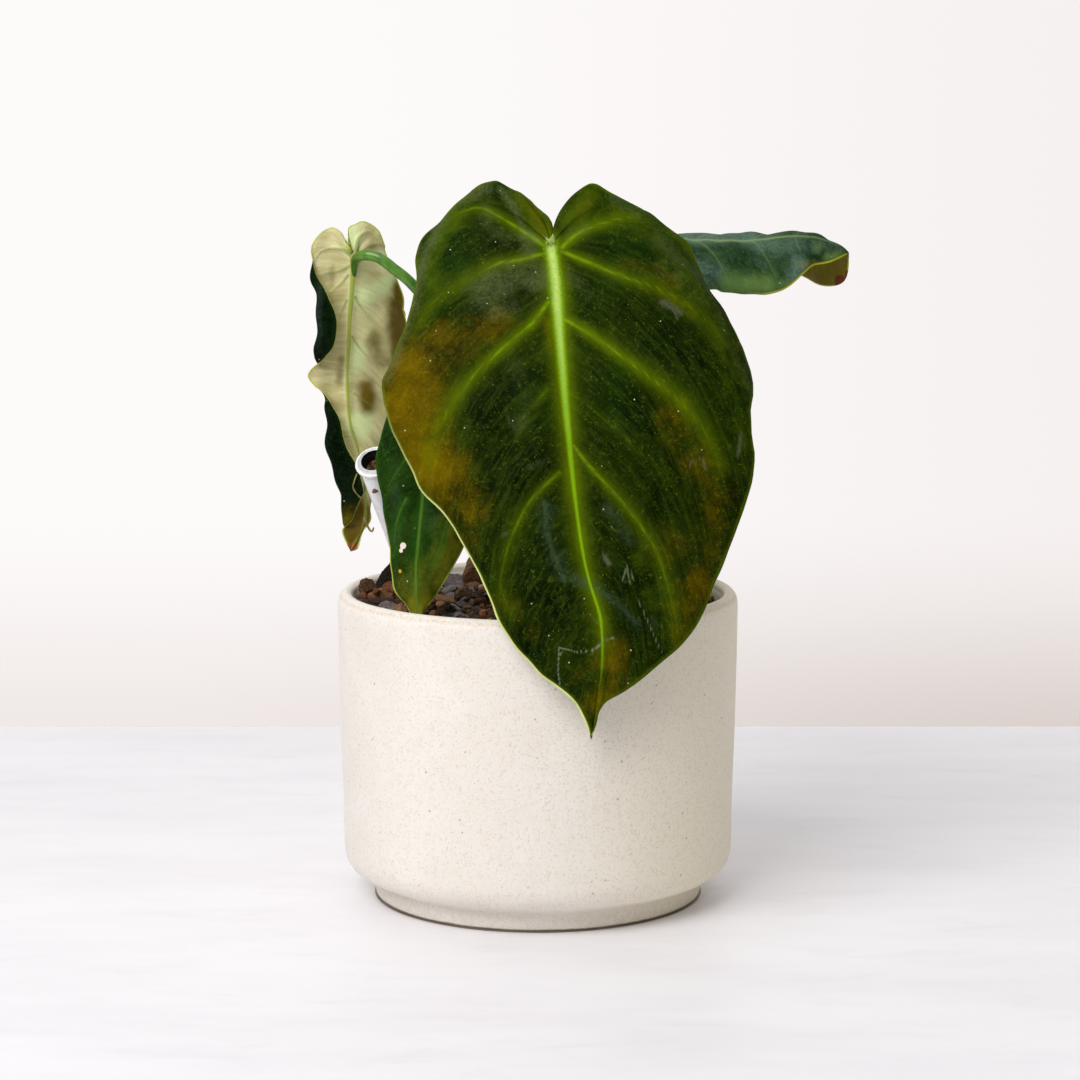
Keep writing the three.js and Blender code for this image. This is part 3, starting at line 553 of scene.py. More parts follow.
# Rows hold: rib place, edge place, bend x, y, z, and the edge's y. Left and right are as seen from the
# upper face with the tip down. A drawn vein is its strength and the front-view x, z points it runs through.
# Where a leaf has "veins" in its halves, the rows they name are veins too, each with its strength.
front_leaf = {
    "rib": [
        [4.9, -46, 248.2], [6.8, -53.3, 231], [8.3, -60.4, 212], [10.3, -68, 189.6], [12.9, -75.3, 163],
        [16.3, -81, 136], [19.5, -83.5, 120.8], [24, -85.5, 105], [24.5, -87, 88], [22.5, -87.7, 73],
        [20.5, -88, 59],
    ],
    "left": {
        "edge": [
            [3.4, 249], [3, 254.5], [-0.7, 262.8], [-6.7, 266.9], [-13.8, 270.8], [-17.5, 271.4],
            [-22.4, 269.8], [-29.5, 264.3], [-35.9, 257.6], [-43.3, 250.2], [-45.7, 243.8], [-45.7, 233.3],
            [-49.2, 219.8], [-56.5, 201.3], [-58.8, 195.3], [-57.5, 185.5], [-54.3, 175.5], [-48.3, 164],
            [-43.4, 154], [-34.5, 144.8], [-28.1, 133.6], [-19.8, 117.1], [-12.3, 99.9], [0.8, 84.4],
            [12.3, 75.1], [17.3, 67.3], [20.5, 59],
        ],
        "rows": [
            [0, 0, 0, 0, 0, -45.5], [0, 3, 2, 0, 3, -36], [0, 6, 0, 0, 10, -35], [0, 9.1, -2, 3, 22, -33],
            [0.15, 12.7, 0, -4, 14, -50], [1.3, 18.2, -18, -8, 14, -68], [3, 20.4, -15, -6, 10, -78],
            [4.15, 21.9, -11, -4, 11, -82], [5.9, 22.8, -6, -2, 6, -85], [7.4, 23.7, -3, 0, 4, -87],
            [10, 26, 0, 0, 0, -88],
        ],
    },
    "right": {
        "edge": [
            [6.3, 249], [6.4, 254], [7.8, 258.5], [11.3, 264.3], [16.5, 268.7], [21.4, 270.6],
            [27.7, 267.2], [37.5, 262], [44.4, 256.8], [51, 252.6], [56.5, 247.6], [60.2, 240],
            [65.1, 230.7], [70.4, 222.4], [74.6, 214.5], [80.8, 198.7], [81.3, 192], [80.2, 184.6],
            [81.8, 172.1], [81.2, 159.2], [76.8, 143.9], [68.6, 122], [62.2, 106.9], [56.8, 97.6],
            [45.2, 87.1], [34.1, 78.2], [26.1, 73.5], [22.4, 67], [20.5, 59],
        ],
        "rows": [
            [0, 0, 0, 0, 0, -45.5], [0, 3, 0, 0, 2, -37], [0, 5.2, -2, 0, 8, -35], [0, 10.3, 0, 0, 25, -30],
            [0.15, 18.2, 15, 0, 27, -60], [1.3, 20.8, 21, -3, 24, -72], [3, 22.2, 15, -3, 18, -78],
            [4.15, 23.8, 12, -2, 20, -83], [5.9, 24.8, 7, -1, 10, -85.5], [7.4, 25.8, 3, 0, 4, -87],
            [10, 28, 0, 0, 0, -88],
        ],
    },
    "stalk": [
        [0, 5, 141, 2.6], [0.3, -3, 152, 2.5], [1, -6, 180, 2.3], [2, -9, 212, 2.2], [3.3, -16, 238, 2.1],
        [4.3, -28, 250, 2.1], [4.7, -39, 251, 2], [5.2, -45, 247.2, 1.7], [5.8, -48.5, 240, 1.2],
    ],
    "stalk_never": (1, 0, 0),
    "row_steps": 20, "column_steps": 112,
    "pucker": 1.3,
    "rib_width": [2.3, 2.5, 1.9, 1.4, 0.8, 0.5, 0.45, 0.55, 0.45, 0.2, 0.1],
    "rib_strength": [1, 1, 1, 0.95, 0.9, 0.85, 0.85, 0.8, 0.35, 0.12, 0],
    "vein_width": 0.45, "glow_width": 3.6, "under_rib": 1.5,
    "drawn_veins": [
        [0.9, [2.4, 247.5], [-6.6, 253.3], [-13.9, 258], [-21.2, 261.6], [-27.5, 260.3],
         [-33.9, 256.9]],
        [0.85, [2.9, 244.9], [-6.6, 242.3], [-15.5, 240.7], [-25, 236], [-32.9, 230.7],
         [-39.3, 226], [-43.5, 220.7], [-47.3, 214.4]],
        [1.0, [4, 226.5], [-0.8, 220.2], [-5.5, 215.4], [-14.5, 208], [-23, 200.1],
         [-29.9, 191.6], [-32.9, 186.5], [-37.7, 179.1], [-40.4, 171.6], [-40.9, 165.2]],
        [0.45, [3.7, 194], [-0.6, 188.6], [-5.3, 183.3], [-7.5, 175.9]],
        [0.6, [8.4, 162], [-0.6, 153.9], [-5.9, 145.9], [-10.7, 135.1], [-13.4, 124.9],
         [-13.9, 116.8], [-9.8, 107.2]],
        [1.0, [9.2, 247], [14, 251.2], [19.2, 254.1], [28.7, 256.9], [35.5, 258], [41.8, 255.9]],
        [0.85, [9.2, 245.4], [19.2, 241.2], [29.8, 237], [37.7, 233.9], [45.6, 231.2],
         [53.6, 226.5], [64.2, 218.6], [69.5, 211.7]],
        [1.0, [9.8, 220.2], [18.2, 215.4], [27.2, 209.1], [34.7, 203.8], [43.2, 197.4],
         [51.1, 191.1], [60.4, 181.1], [65.7, 172], [69, 164]],
        [0.3, [11.5, 192.8], [17.9, 188.5], [28.3, 179.5], [37.1, 171.5], [45.6, 162.4],
         [55.3, 150.6]],
        [0.7, [13.7, 172], [18, 166.1], [28.6, 154.3], [38.3, 142.5], [45.8, 129.6],
         [50.2, 114.5], [51.8, 109], [52.9, 99]],
    ],
}
# Soft strokes of each tone in the front view: half width, strength, and the x, z points it runs through
front_marks = {
    "olive": [
        [15, 0.95, [-50, 201], [-50.2, 189.6], [-46, 174.4], [-41, 163]],
        [11, 0.5, [-37.1, 159.2], [-26, 149.6], [-31.5, 138.1]], [10, 0.55, [-42, 210], [-28, 212]],
        [3.8, 0.35, [-6.7, 266.5], [-0.3, 259], [2.7, 251.2]], [4, 0.3, [15, 259], [20.6, 266.9]],
        [3, 0.5, [3.5, 219.8], [4.6, 209.2]], [4.5, 0.35, [32.7, 239.3], [42.1, 238.5], [50.4, 232.9]],
        [3.5, 0.35, [45.9, 231], [58, 222.8]],
        [10, 0.4, [50.7, 182], [60.5, 168], [66, 153.4], [66.2, 134.3]],
        [7, 0.35, [47, 133], [51, 121], [53.4, 109.2]], [8, 0.5, [61.8, 118.9], [56, 101.5]],
        [7, 0.6, [28.3, 93.7], [28.4, 82.1], [23, 71.2]], [5, 0.3, [13.1, 84], [23.8, 88]],
        [10, 0.2, [-12.5, 113.1], [-4, 101]], [7, 0.3, [48, 138], [60, 124]],
        [7, 0.5, [-36, 207], [-24, 213], [-14, 218]],
    ],
    # Painted highlight: haze strokes where the velvet catches light, along the left margin, the fold and
    # between the veins
    "painted_sheen": [
        [2.8, 0.9, [-19, 269.1], [-32.9, 261.3], [-42.3, 245.3], [-46.5, 227.7], [-51.9, 210.4],
         [-56.5, 197.1]],
        [1.7, 0.9, [-14.1, 268.3], [-8.5, 261.7], [-5.2, 253.5], [0.1, 248.6]],
        [4.5, 0.55, [-19, 262], [-17.9, 254.2], [-11.9, 249]],
        [3.5, 0.65, [-5.2, 250.1], [-2.6, 245.3]],
        [8, 0.8, [-19.8, 230.3], [-8.6, 235.4], [1.2, 235.4]], [5, 0.5, [-16, 222.8], [-4, 226.5]],
        [4.5, 0.5, [-14.2, 222.8], [-1.1, 228]],
        [5, 0.4, [-7.9, 200.9], [-3, 191.5], [-6.7, 180.1]],
        [3, 0.7, [14.1, 121.6], [25.2, 116.9], [32.1, 109.2]],
        [3.4, 0.5, [27, 148.1], [34.3, 136.2]],
        [1.8, 0.8, [2.6, 150], [3.2, 141], [5.4, 131.6], [9.8, 121.5]],
        [5, 0.4, [3, 148], [4.5, 136], [9, 124]],
        [2.2, 0.8, [24.8, 115.8], [31.3, 110.4], [37.5, 104.6]],
        [1.6, 0.45, [-3.3, 164.1], [3.8, 166.8]],
        [1.2, 0.45, [-15.4, 194.1], [-12.4, 186.5], [-10.5, 181.2]],
        [3, 0.4, [11.3, 252.7], [17.7, 253.8]],
        [4, 0.35, [10.6, 239.3], [18.1, 229.2]],
        [3.5, 0.5, [27.7, 266.1], [42, 256.4], [51.8, 241.5]],
        [5, 0.3, [42.1, 246], [60.9, 227.3]],
        [2.4, 0.4, [66.2, 223.5], [75, 206.6], [79.4, 189.6]],
    ],
    "light": [
        [5, 1.0, [-6.7, 266.5], [-0.3, 259], [2.7, 251.2]], [5.5, 0.9, [13, 257], [20.6, 267]],
        [6, 0.7, [-31, 259], [-40.4, 245.3], [-39.7, 234.8]],
        [3, 0.8, [48.8, 253.5], [54.4, 249.7], [59.3, 241.5], [60.5, 238.5]],
        [7, 0.55, [23.3, 259.4], [42, 251.6], [60.9, 231]],
        [8, 0.45, [72, 212], [76, 192], [76.5, 174.4]],
        [6, 0.35, [38.9, 128.5], [44.7, 113.1]],
    ],
    "scar": [
        [2, 0.9, [46.7, 226.5], [53.5, 222.4]],
        [1.1, 0.6, [44, 237.8], [47, 235.5]],
        [1.4, 1.0, [25.2, 130], [27.1, 127]],
        [1.3, 0.75, [-11.7, 138.9], [-13.2, 137.7]],
        [1.3, 0.8, [76.8, 176.7], [75.4, 167.9]],
        [2.6, 0.5, [43.5, 106.9], [45.1, 103.8]],
        [0.7, 0.9, [57.3, 163.7], [58, 166.4], [61, 167.2], [62.2, 167.5], [63.7, 161.8]],
        [0.7, 0.7, [56.9, 158], [57.7, 159.2]],
        [0.9, 0.8, [51.6, 220.9], [52.4, 219.8]],
    ],
    "silver": [
        [0.45, 1.0, [28.7, 98.4], [25.1, 97.4], [21.5, 93.7], [15, 93], [11.1, 94.1], [8.1, 94.9],
         [7.9, 90.2], [7.7, 85.2], [8.5, 79.7]],
        [0.4, 0.9, [37.8, 113.1], [41.1, 106.1], [43.8, 100.1], [47.1, 93.1]],
        [0.8, 0.8, [42.4, 103.4], [43.2, 101.9]],
        [0.5, 0.9, [32, 120.8], [33.5, 126.2], [35.1, 124.7], [35.9, 120.8]],
        [0.5, 0.8, [33.6, 125.4], [34.7, 118.9]],
        [0.4, 0.8, [11.1, 94.9], [8.5, 91.8]],
        [0.7, 0.9, [24.5, 98.6], [24.7, 98.4]],
        [0.7, 0.9, [28.5, 98.8], [28.7, 98.6]],
        [0.35, 0.7, [19.1, 108.1], [22.6, 104.6], [24.9, 101.1]],
        [0.5, 0.8, [27.8, 141.2], [29.3, 140.4]],
    ],
    "brown": [
        [0.9, 1.5, [20.5, 59.8], [20.5, 58.9]],
    ],
}


def seen(places):
    """Front-view places, x and z on the upright plane through the axis, carried along their sight lines from
    the eye to their own depth y."""
    return eye + (places * [1, 0, 1] - eye) * ((places[..., 1:2] - eye[1]) / -eye[1])


def half_places(leaf, half, v, t):
    """Row v runs from a place on the rib to a place on the edge as a quadratic curve in t, from 0 to 1, whose
    middle control point is the chord's middle moved by the row's bend."""
    row = curve_at(leaf[half]["rows"], v)
    root = curve_at(leaf["rib"], np.maximum(row[:, 0], 0))
    edge = curve_at(leaf[half]["edge"], np.maximum(row[:, 1], 0))
    end = np.stack([edge[:, 0], row[:, 5], edge[:, 1]], 1)
    control = (root + end) / 2 + row[:, 2:5]
    root, control, end = root[:, None], control[:, None], end[:, None]
    t = t[:, None]
    return (1 - t) ** 2 * root + 2 * t * (1 - t) * control + t ** 2 * end


def distance_to(line, points):
    """The distance in millimetres from each point to a line of short straight pieces, and the share of the
    way along the line where it is nearest."""
    nearest = np.full(points.shape[:-1], np.inf)
    share = np.zeros(points.shape[:-1])
    for k, (start, end) in enumerate(zip(line[:-1], line[1:])):
        step = end - start
        f = np.clip(((points - start) @ step) / max(step @ step, 1e-9), 0, 1)
        away = np.linalg.norm(points - start - f[..., None] * step, axis=-1)
        closer = away < nearest
        nearest = np.where(closer, away, nearest)
        share = np.where(closer, (k + f) / (len(line) - 1), share)
    return nearest, share


def normals_of(points, triangles):
    """Each point's normal: the sum of its triangles' cross products, made one long."""
    a, b, c = (points[triangles[:, k]] for k in range(3))
    face = np.cross(b - a, c - a)
    normals = np.stack([sum(np.bincount(triangles[:, k], face[:, axis], len(points)) for k in range(3))
                        for axis in range(3)], 1)
    return normals / np.maximum(np.linalg.norm(normals, axis=1), 1e-9)[:, None]


def open_edges(triangles):
    """The directed edges that only one triangle has, which run round the sheet's rim."""
    edges = np.concatenate([triangles[:, [0, 1]], triangles[:, [1, 2]], triangles[:, [2, 0]]])
    span = edges.max() + 1
    key = edges.min(1) * span + edges.max(1)
    _, number, count = np.unique(key, return_inverse=True, return_counts=True)
    return edges[count[number.reshape(-1)] == 1]


def marks_at(places, strokes):
    """The strongest of a list of soft strokes at each front-view place, falling off as a bell curve."""
    weight = np.zeros(places.shape[:-1])
    for width, strength, *line in strokes:
        line = np.array([[x, 0, z] for x, z in line + line[-1:]], float)
        away, _ = distance_to(line, places * [1, 0, 1])
        weight = np.maximum(weight, strength * np.exp(-(away / width) ** 2))
    return weight


def leaf_fields(leaf, places, points, v, t, marks):
    """What each point of the sheet knows about itself: its row and column, its distance to the nearest main
    vein in vein widths, to the rib in rib widths and to the margin in millimetres, the glow round the veins
    and its tones. Columns run from the left margin at -1 over the rib at 0 to the right margin at 1."""
    columns = len(t)
    across = np.concatenate([-t[::-1], t[1:]])
    shape = (len(v), len(across))
    far_off = 9.0
    vein, glow, power = np.full(shape, far_off), np.zeros(shape), np.zeros(shape)
    whole, left, right = slice(None), slice(0, columns), slice(columns - 1, None)
    flat = places * [1, 0, 1]
    lines = []
    for half, window, onward in (("left", left, -1), ("right", right, 1)):
        for row, strength in leaf[half].get("veins", {}).items():
            lines.append((strength, window, points, points[row * leaf["row_steps"], window][::onward][::3]))
    for strength, *line in leaf.get("drawn_veins", []):
        smooth = curve_at([[x, 0, z] for x, z in line], np.linspace(0, len(line) - 1, 6 * len(line)))
        lines.append((strength, whole, flat, smooth))
    for strength, window, space, line in lines:
        away, share = distance_to(line, space[:, window])
        vein[:, window] = np.minimum(vein[:, window], away / (leaf["vein_width"] * (1.5 - 0.9 * share)))
        spread = leaf["glow_width"] * (0.7 + 0.8 * share)
        halo = strength * (1 - 0.55 * share) * np.exp(-(away / spread) ** 1.15)
        glow[:, window] = np.maximum(glow[:, window], halo)
        here = strength * np.exp(-(away / 3) ** 2) * (1 - share) ** 0.8
        power[:, window] = np.maximum(power[:, window], here)
    last = len(leaf["rib"]) - 1
    away, share = distance_to(seen(curve_at(leaf["rib"], np.linspace(0, last, 120))), points)
    rib_place = share * last
    width = np.interp(rib_place, np.arange(last + 1), leaf["rib_width"])
    rib_power = np.interp(rib_place, np.arange(last + 1), leaf["rib_strength"])
    beside_rib = np.maximum(away - width * 0.7, 0) / leaf["glow_width"]
    glow = np.maximum(glow, rib_power * np.exp(-beside_rib ** 1.1))
    row_run, column_run = np.gradient(points, v, axis=0), np.gradient(points, across, axis=1)
    area = np.linalg.norm(np.cross(row_run, column_run), axis=-1)
    margin = (1 - np.abs(across)) * area / np.maximum(np.linalg.norm(row_run, axis=-1), 1e-6)
    fields = {
        "along": np.broadcast_to(v[:, None], shape), "across": np.broadcast_to(across, shape),
        "vein": np.minimum(vein, far_off), "vein_power": power, "glow": glow,
        "rib": np.minimum(away / width, far_off), "rib_power": rib_power, "rib_place": rib_place,
        "rib_mm": away, "margin": margin,
    }
    for tone, strokes in marks.items():
        fields[tone] = marks_at(places, strokes)
    return fields


def soft_waves(points, count, shortest, longest):
    """A gentle unevenness between -1 and 1: the mean of a few plane waves of different lengths and ways."""
    total = np.zeros(points.shape[:-1])
    for k in range(count):
        length = shortest + (longest - shortest) * (k * 0.618 % 1)
        way = np.array([math.cos(2.4 * k), 0.3 * math.sin(1.7 * k), math.sin(2.4 * k)])
        total += np.sin((points @ way) * 2 * math.pi / length + 1.3 * k * k)
    return total / count ** 0.5 / 1.5


def leaf_piece(name, leaf, marks, finishes):
    """A leaf as one closed skin and its stalk. The sheet's two faces lie half a thickness to either side of
    it, thinner at the margin; the upper one sinks along the veins and the under one bulges there. The
    finishes are those of the upper face, of the under face with the rim, and of the stalk."""
    last_row = len(leaf["left"]["rows"]) - 1
    v = np.linspace(0, last_row, last_row * leaf["row_steps"] + 1)
    t = np.linspace(0, 1, leaf["column_steps"] + 1)
    left, right = half_places(leaf, "left", v, t), half_places(leaf, "right", v, t)
    places = np.concatenate([left[:, ::-1], right[:, 1:]], 1)
    points = seen(places)
    fields = leaf_fields(leaf, places, points, v, t, marks)
    names = list(fields)
    rows, columns = points.shape[:2]
    sheet, triangles, *flat = welded(points.reshape(-1, 3), grid_triangles(rows, columns)[:, ::-1],
                                     *[fields[key].reshape(-1) for key in names])
    fields = dict(zip(names, flat))
    normals = normals_of(sheet, triangles)
    reach = np.abs(fields["across"])
    pucker = leaf["pucker"] * np.sin(np.pi * fields["along"]) ** 2 * np.sin(np.pi * reach ** 0.7)
    near_margin = np.exp(-fields["margin"] / 5)
    waves = 0.35 * soft_waves(sheet, 7, 9, 26) + 0.5 * near_margin * soft_waves(sheet + 40, 5, 8, 16)
    vein_depth = fields["vein_power"] * (0.22 * np.exp(-(fields["vein"] / 1.1) ** 2)
                                         - 0.5 * np.exp(-(fields["vein"] / 5.0) ** 2))
    rib_depth = fields["rib_power"] * (0.3 * np.exp(-(fields["rib"] / 0.9) ** 4)
                                       - 0.7 * np.exp(-(fields["rib_mm"] / 3.2) ** 2))
    sheet = sheet + normals * (pucker + waves)[:, None]
    normals = normals_of(sheet, triangles)
    half = blade_thickness / 2 * (0.45 + 0.55 * np.clip(fields["margin"] / 1.5, 0, 1))
    upper = sheet + normals * (half + vein_depth + rib_depth)[:, None]
    taper = np.interp(fields["rib_place"], [0, len(leaf["rib"]) - 1], [1, 0.15])
    bulge = leaf["under_rib"] * taper * np.exp(-(fields["rib_mm"] / (1.9 * taper + 0.2)) ** 2)
    vein_bulge = 0.55 * fields["vein_power"] * np.exp(-(fields["vein"] / 1.5) ** 2)
    in_blade = np.clip(fields["margin"] / 2.0, 0, 1)
    under = sheet - normals * (half + np.maximum(bulge, vein_bulge) * in_blade)[:, None]
    count = len(sheet)
    rim = open_edges(triangles)
    a, b = rim[:, 0], rim[:, 1]
    walls = np.concatenate([np.stack([b, a, a + count], 1), np.stack([b, a + count, b + count], 1)])
    stalk, stalk_triangles, _ = swept(leaf["stalk"], 28, 14, leaf["stalk_never"], 0.12)
    everything = np.concatenate([upper, under, stalk])
    faces = np.concatenate([triangles, triangles[:, ::-1] + count, walls, stalk_triangles + 2 * count])
    made = mesh_object(name, everything, faces)
    for key, values in fields.items():
        set_field(made, key, np.concatenate([values, values, np.zeros(len(stalk))]))
    slots = np.zeros(len(faces), np.int32)
    slots[len(triangles):] = 1
    slots[2 * len(triangles) + len(walls):] = 2
    made.data.polygons.foreach_set("material_index", slots)
    for finish in finishes:
        made.data.materials.append(finish)
    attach(made, "root")
    return made


def velvet(name, tones, gloss=0.02):
    """The upper face. Its ground is mottled dark to middle green and covered in short curled fibres. Soft
    strokes lighten it or brown it, and haze strokes lay a painted highlight where the velvet would catch
    light. A glow follows every main vein, which has a thin bright core; scars, pale dots, dried water lines
    and a pale margin lie over all."""
    f = Finish(name, Specular_IOR_Level=gloss)
    place = f.place()
    along, across = f.attribute("along"), f.attribute("across")
    grain = f.noise(place, 0.9, 4, 0.7)
    fine_ragged = f.swing(grain, 0.4)
    ragged = f.plus(f.swing(f.noise(place, 0.1, 6, 0.68), 1.5), fine_ragged)

    def tone_at(mark, low, high, top=1.0):
        """How much of a tone shows: its soft strokes, made ragged by the clouds."""
        strength = f.attribute(mark)
        unsure = f.times(f.step(strength, 0.0, 0.35), ragged)
        return f.step(f.plus(strength, unsure), low, high, 0, top)

    # Rows of tiny creases cross the blade from the rib to the margin
    crease_place = f.vector(f.times(along, 11), f.times(across, 5), 0)
    creases = f.noise(crease_place, 1.0, 3, 0.6, 1.0)
    mottle = f.plus(f.noise(place, 0.055, 6, 0.68), f.times(fine_ragged, 0.35))
    olive = tone_at("olive", 0.1, 1.15)
    colour = f.mix(f.step(mottle, 0.38, 0.66), tones["dark"], tones["middle"])
    colour = f.mix(f.step(f.noise(place, 0.022, 3), 0.45, 0.7, 0, 0.6), colour, tones["deep"])
    colour = f.mix(tone_at("light", 0.1, 1.1, 0.8), colour, tones["light"])
    colour = f.mix(olive, colour, tones["olive"])
    # Fibres are short pieces of the level lines of twisted noise at three scales
    fibre_tone = f.mix(olive, tones["fibre"], tones["ochre"])
    fibres = 0.0
    for scale, width in ((0.17, 0.032), (0.26, 0.045), (0.4, 0.06)):
        level = f.off(f.noise(place, scale, 0, 0.5, 2.2))
        shown = f.step(f.noise(place, scale * 1.7, 1), 0.5, 0.66)
        fibres = f.calc("MAXIMUM", f.times(f.step(level, 0.0, width, 1, 0), shown), fibres)
    colour = f.mix(f.step(creases, 0.4, 0.75, 0, 0.22), colour, fibre_tone)
    colour = f.mix(f.times(fibres, 0.42), colour, fibre_tone)
    wavering = f.times(ragged, f.times(f.attribute("glow"), 0.6))
    glow = f.plus(f.attribute("glow"), wavering)
    colour = f.mix(f.step(glow, 0.0, 1.05, 0, 0.85), colour, tones["glow"])
    # Painted highlight: where the velvet catches light its colour is hazed to a pale grey-green, turning to
    # the cooler tone low on the blade
    haze = f.times(tone_at("painted_sheen", 0.1, 1.2), f.step(grain, 0.25, 0.75, 0.3, 0.85))
    painted_sheen_tone = f.mix(f.step(along, 5.6, 7), tones["painted_sheen"], tones["cool"])
    colour = f.mix(haze, colour, painted_sheen_tone)
    # The vein and rib cores
    core = f.times(f.step(f.attribute("vein"), 0.3, 1.6, 1, 0), f.attribute("vein_power"))
    core = f.times(core, f.step(f.noise(place, 0.25, 3), 0.3, 0.6, 0.15, 0.6))
    colour = f.mix(core, colour, tones["vein"])
    rib_edge = f.plus(f.attribute("rib"), f.times(fine_ragged, 2.0))
    rib_side = f.times(f.step(rib_edge, 0.3, 1.5, 1, 0), f.attribute("rib_power"))
    colour = f.mix(f.times(rib_side, 0.9), colour, tones["vein"])
    rib_core = f.times(f.step(rib_edge, 0.1, 0.95, 1, 0), f.attribute("rib_power"))
    rib_tone = f.mix(f.step(f.attribute("rib_place"), 0.4, 4.2), tones["rib"], tones["vein"])
    colour = f.mix(f.times(rib_core, f.step(grain, 0.35, 0.6, 0.6, 1)), colour, rib_tone)
    # Dots are the middles of random cells
    dot = f.step(f.cells(place, 0.17), 0.03, 0.06, 1, 0)
    chosen = f.step(f.parts_of(f.cells(place, 0.17, "Color"))[0], 0.3, 0.5)
    small = f.step(f.cells(place, 0.5), 0.06, 0.14, 1, 0)
    small_chosen = f.step(f.parts_of(f.cells(place, 0.5, "Color"))[1], 0.4, 0.75)
    colour = f.mix(f.times(f.times(small, small_chosen), 0.6), colour, tones["ochre"])
    colour = f.mix(f.times(dot, chosen), colour, paint(186, 196, 168))
    worn = f.plus(f.attribute("scar"), f.times(fine_ragged, 1.5))
    colour = f.mix(f.step(worn, 0.3, 1.2, 0, 0.65), colour, tones["scar"])
    dried = f.plus(f.attribute("silver"), f.times(fine_ragged, 1.5))
    colour = f.mix(f.step(dried, 0.3, 1.2, 0, 0.6), colour, paint(146, 156, 128))
    # The margin is lighter all round, and pale where light comes through it: low on the left, and where the
    # leaf's "bright" strokes lie
    colour = f.mix(f.step(f.attribute("margin"), 0.3, 2.0, 0.4, 0), colour, tones["glow"])
    colour = f.mix(f.step(f.attribute("margin"), 0.1, 0.4, 0.5, 0), colour, tones["glow"])
    pale = f.times(f.step(across, -0.9, -0.5, 1, 0), f.step(along, 4.2, 5.2))
    pale = f.calc("MAXIMUM", pale, f.step(f.attribute("bright"), 0.2, 0.6, 0, 0.7))
    edge = f.times(f.step(f.attribute("margin"), 0.35, 0.95, 1, 0), pale)
    colour = f.mix(edge, colour, tones["margin"])
    colour = f.mix(f.step(f.attribute("spot"), 0.5, 0.7), colour, paint(232, 216, 206))
    colour = f.mix(f.step(f.attribute("brown"), 0.45, 0.75), colour, tones["dry"])
    relief = f.plus(f.times(grain, 0.6), f.times(creases, 0.4))
    return f.done(colour, 0.6, f.bump(relief, 0.25))


def leaf_under(name, tones):
    """The under face: paler and smoother, with broad light streaks between raised green veins, and brown
    blotches where it is ageing."""
    f = Finish(name, Specular_IOR_Level=0.25)
    place = f.place()
    along, across = f.attribute("along"), f.attribute("across")
    streaks = f.noise(f.vector(f.times(along, 2.6), f.times(across, 1.2), 0), 1.0, 4)
    colour = f.mix(f.step(streaks, 0.38, 0.66), tones["ground"], tones["streak"])
    soft = f.swing(f.noise(place, 0.14, 4), 0.8)
    colour = f.mix(f.step(f.plus(f.attribute("pale"), soft), 0.15, 0.9), colour, tones["pale"])
    blotch = f.step(f.plus(f.attribute("blotch"), soft), 0.2, 1.05)
    colour = f.mix(blotch, colour, tones["blotch"])
    fine = f.noise(f.vector(f.times(along, 14), f.times(across, 3), 0), 1.0, 3)
    colour = f.mix(f.step(fine, 0.5, 0.75, 0, 0.25), colour, tones["vein"])
    colour = f.mix(f.step(f.attribute("glow"), 0.3, 1.0, 0, 0.35), colour, tones["pale"])
    core = f.times(f.step(f.attribute("vein"), 0.4, 1.5, 1, 0), f.attribute("vein_power"))
    colour = f.mix(f.times(core, 0.85), colour, tones["vein"])
    rib_core = f.times(f.step(f.attribute("rib"), 0.7, 1.4, 1, 0), f.attribute("rib_power"))
    colour = f.mix(f.times(rib_core, 0.9), colour, tones["rib"])
    colour = f.mix(f.step(f.attribute("margin"), 0.25, 0.7, 1, 0), colour, tones["margin"])
    colour = f.mix(f.step(f.attribute("brown"), 0.45, 0.9), colour, tones["dry"])
    grain = f.noise(place, 1.1, 4)
    return f.done(colour, 0.5, f.bump(grain, 0.15))


def stalk_skin(name, dark, light):
    """Smooth glossy stalk, faintly streaked lengthwise, with tiny pale flecks."""
    f = Finish(name, Specular_IOR_Level=0.5, Coat_Weight=0.35, Coat_Roughness=0.22)
    place = f.place()
    streaks = f.noise(f.stretch(place, 1.0, 1.0, 0.1), 0.35, 3)
    colour = f.mix(f.step(streaks, 0.3, 0.7), dark, light)
    fleck = f.step(f.cells(place, 0.7), 0.08, 0.16, 0.3, 0)
    return f.done(f.mix(fleck, colour, paint(190, 210, 140)), 0.3, f.bump(streaks, 0.05))


# The sheen and cool tones here are the colours of the painted highlight on the velvet
front_upper = velvet("front_velvet", {
    "dark": paint(5, 17, 0), "middle": paint(24, 38, 0), "deep": paint(12, 44, 4),
    "light": paint(66, 86, 4), "olive": paint(98, 80, 0), "fibre": paint(76, 98, 22),
    "ochre": paint(146, 124, 6), "glow": paint(92, 112, 0), "vein": paint(120, 164, 12),
    "rib": paint(190, 218, 112), "painted_sheen": paint(88, 98, 56), "cool": paint(64, 84, 58),
    "margin": paint(214, 222, 140), "scar": paint(104, 106, 84), "dry": paint(70, 40, 16),
})
front_under = leaf_under("front_underside", {
    "ground": paint(112, 116, 60), "streak": paint(138, 142, 82), "pale": paint(160, 170, 104),
    "blotch": paint(112, 84, 48), "vein": paint(140, 164, 76), "rib": paint(150, 176, 84),
    "margin": paint(206, 216, 136), "dry": paint(100, 60, 24),
})
stalk_green = stalk_skin("stalk_green", paint(42, 96, 0), paint(86, 138, 0))
front_finishes = (front_upper, front_under, stalk_green)
front = leaf_piece("front_leaf_blade", front_leaf, front_marks, front_finishes)
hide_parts("front_leaf")


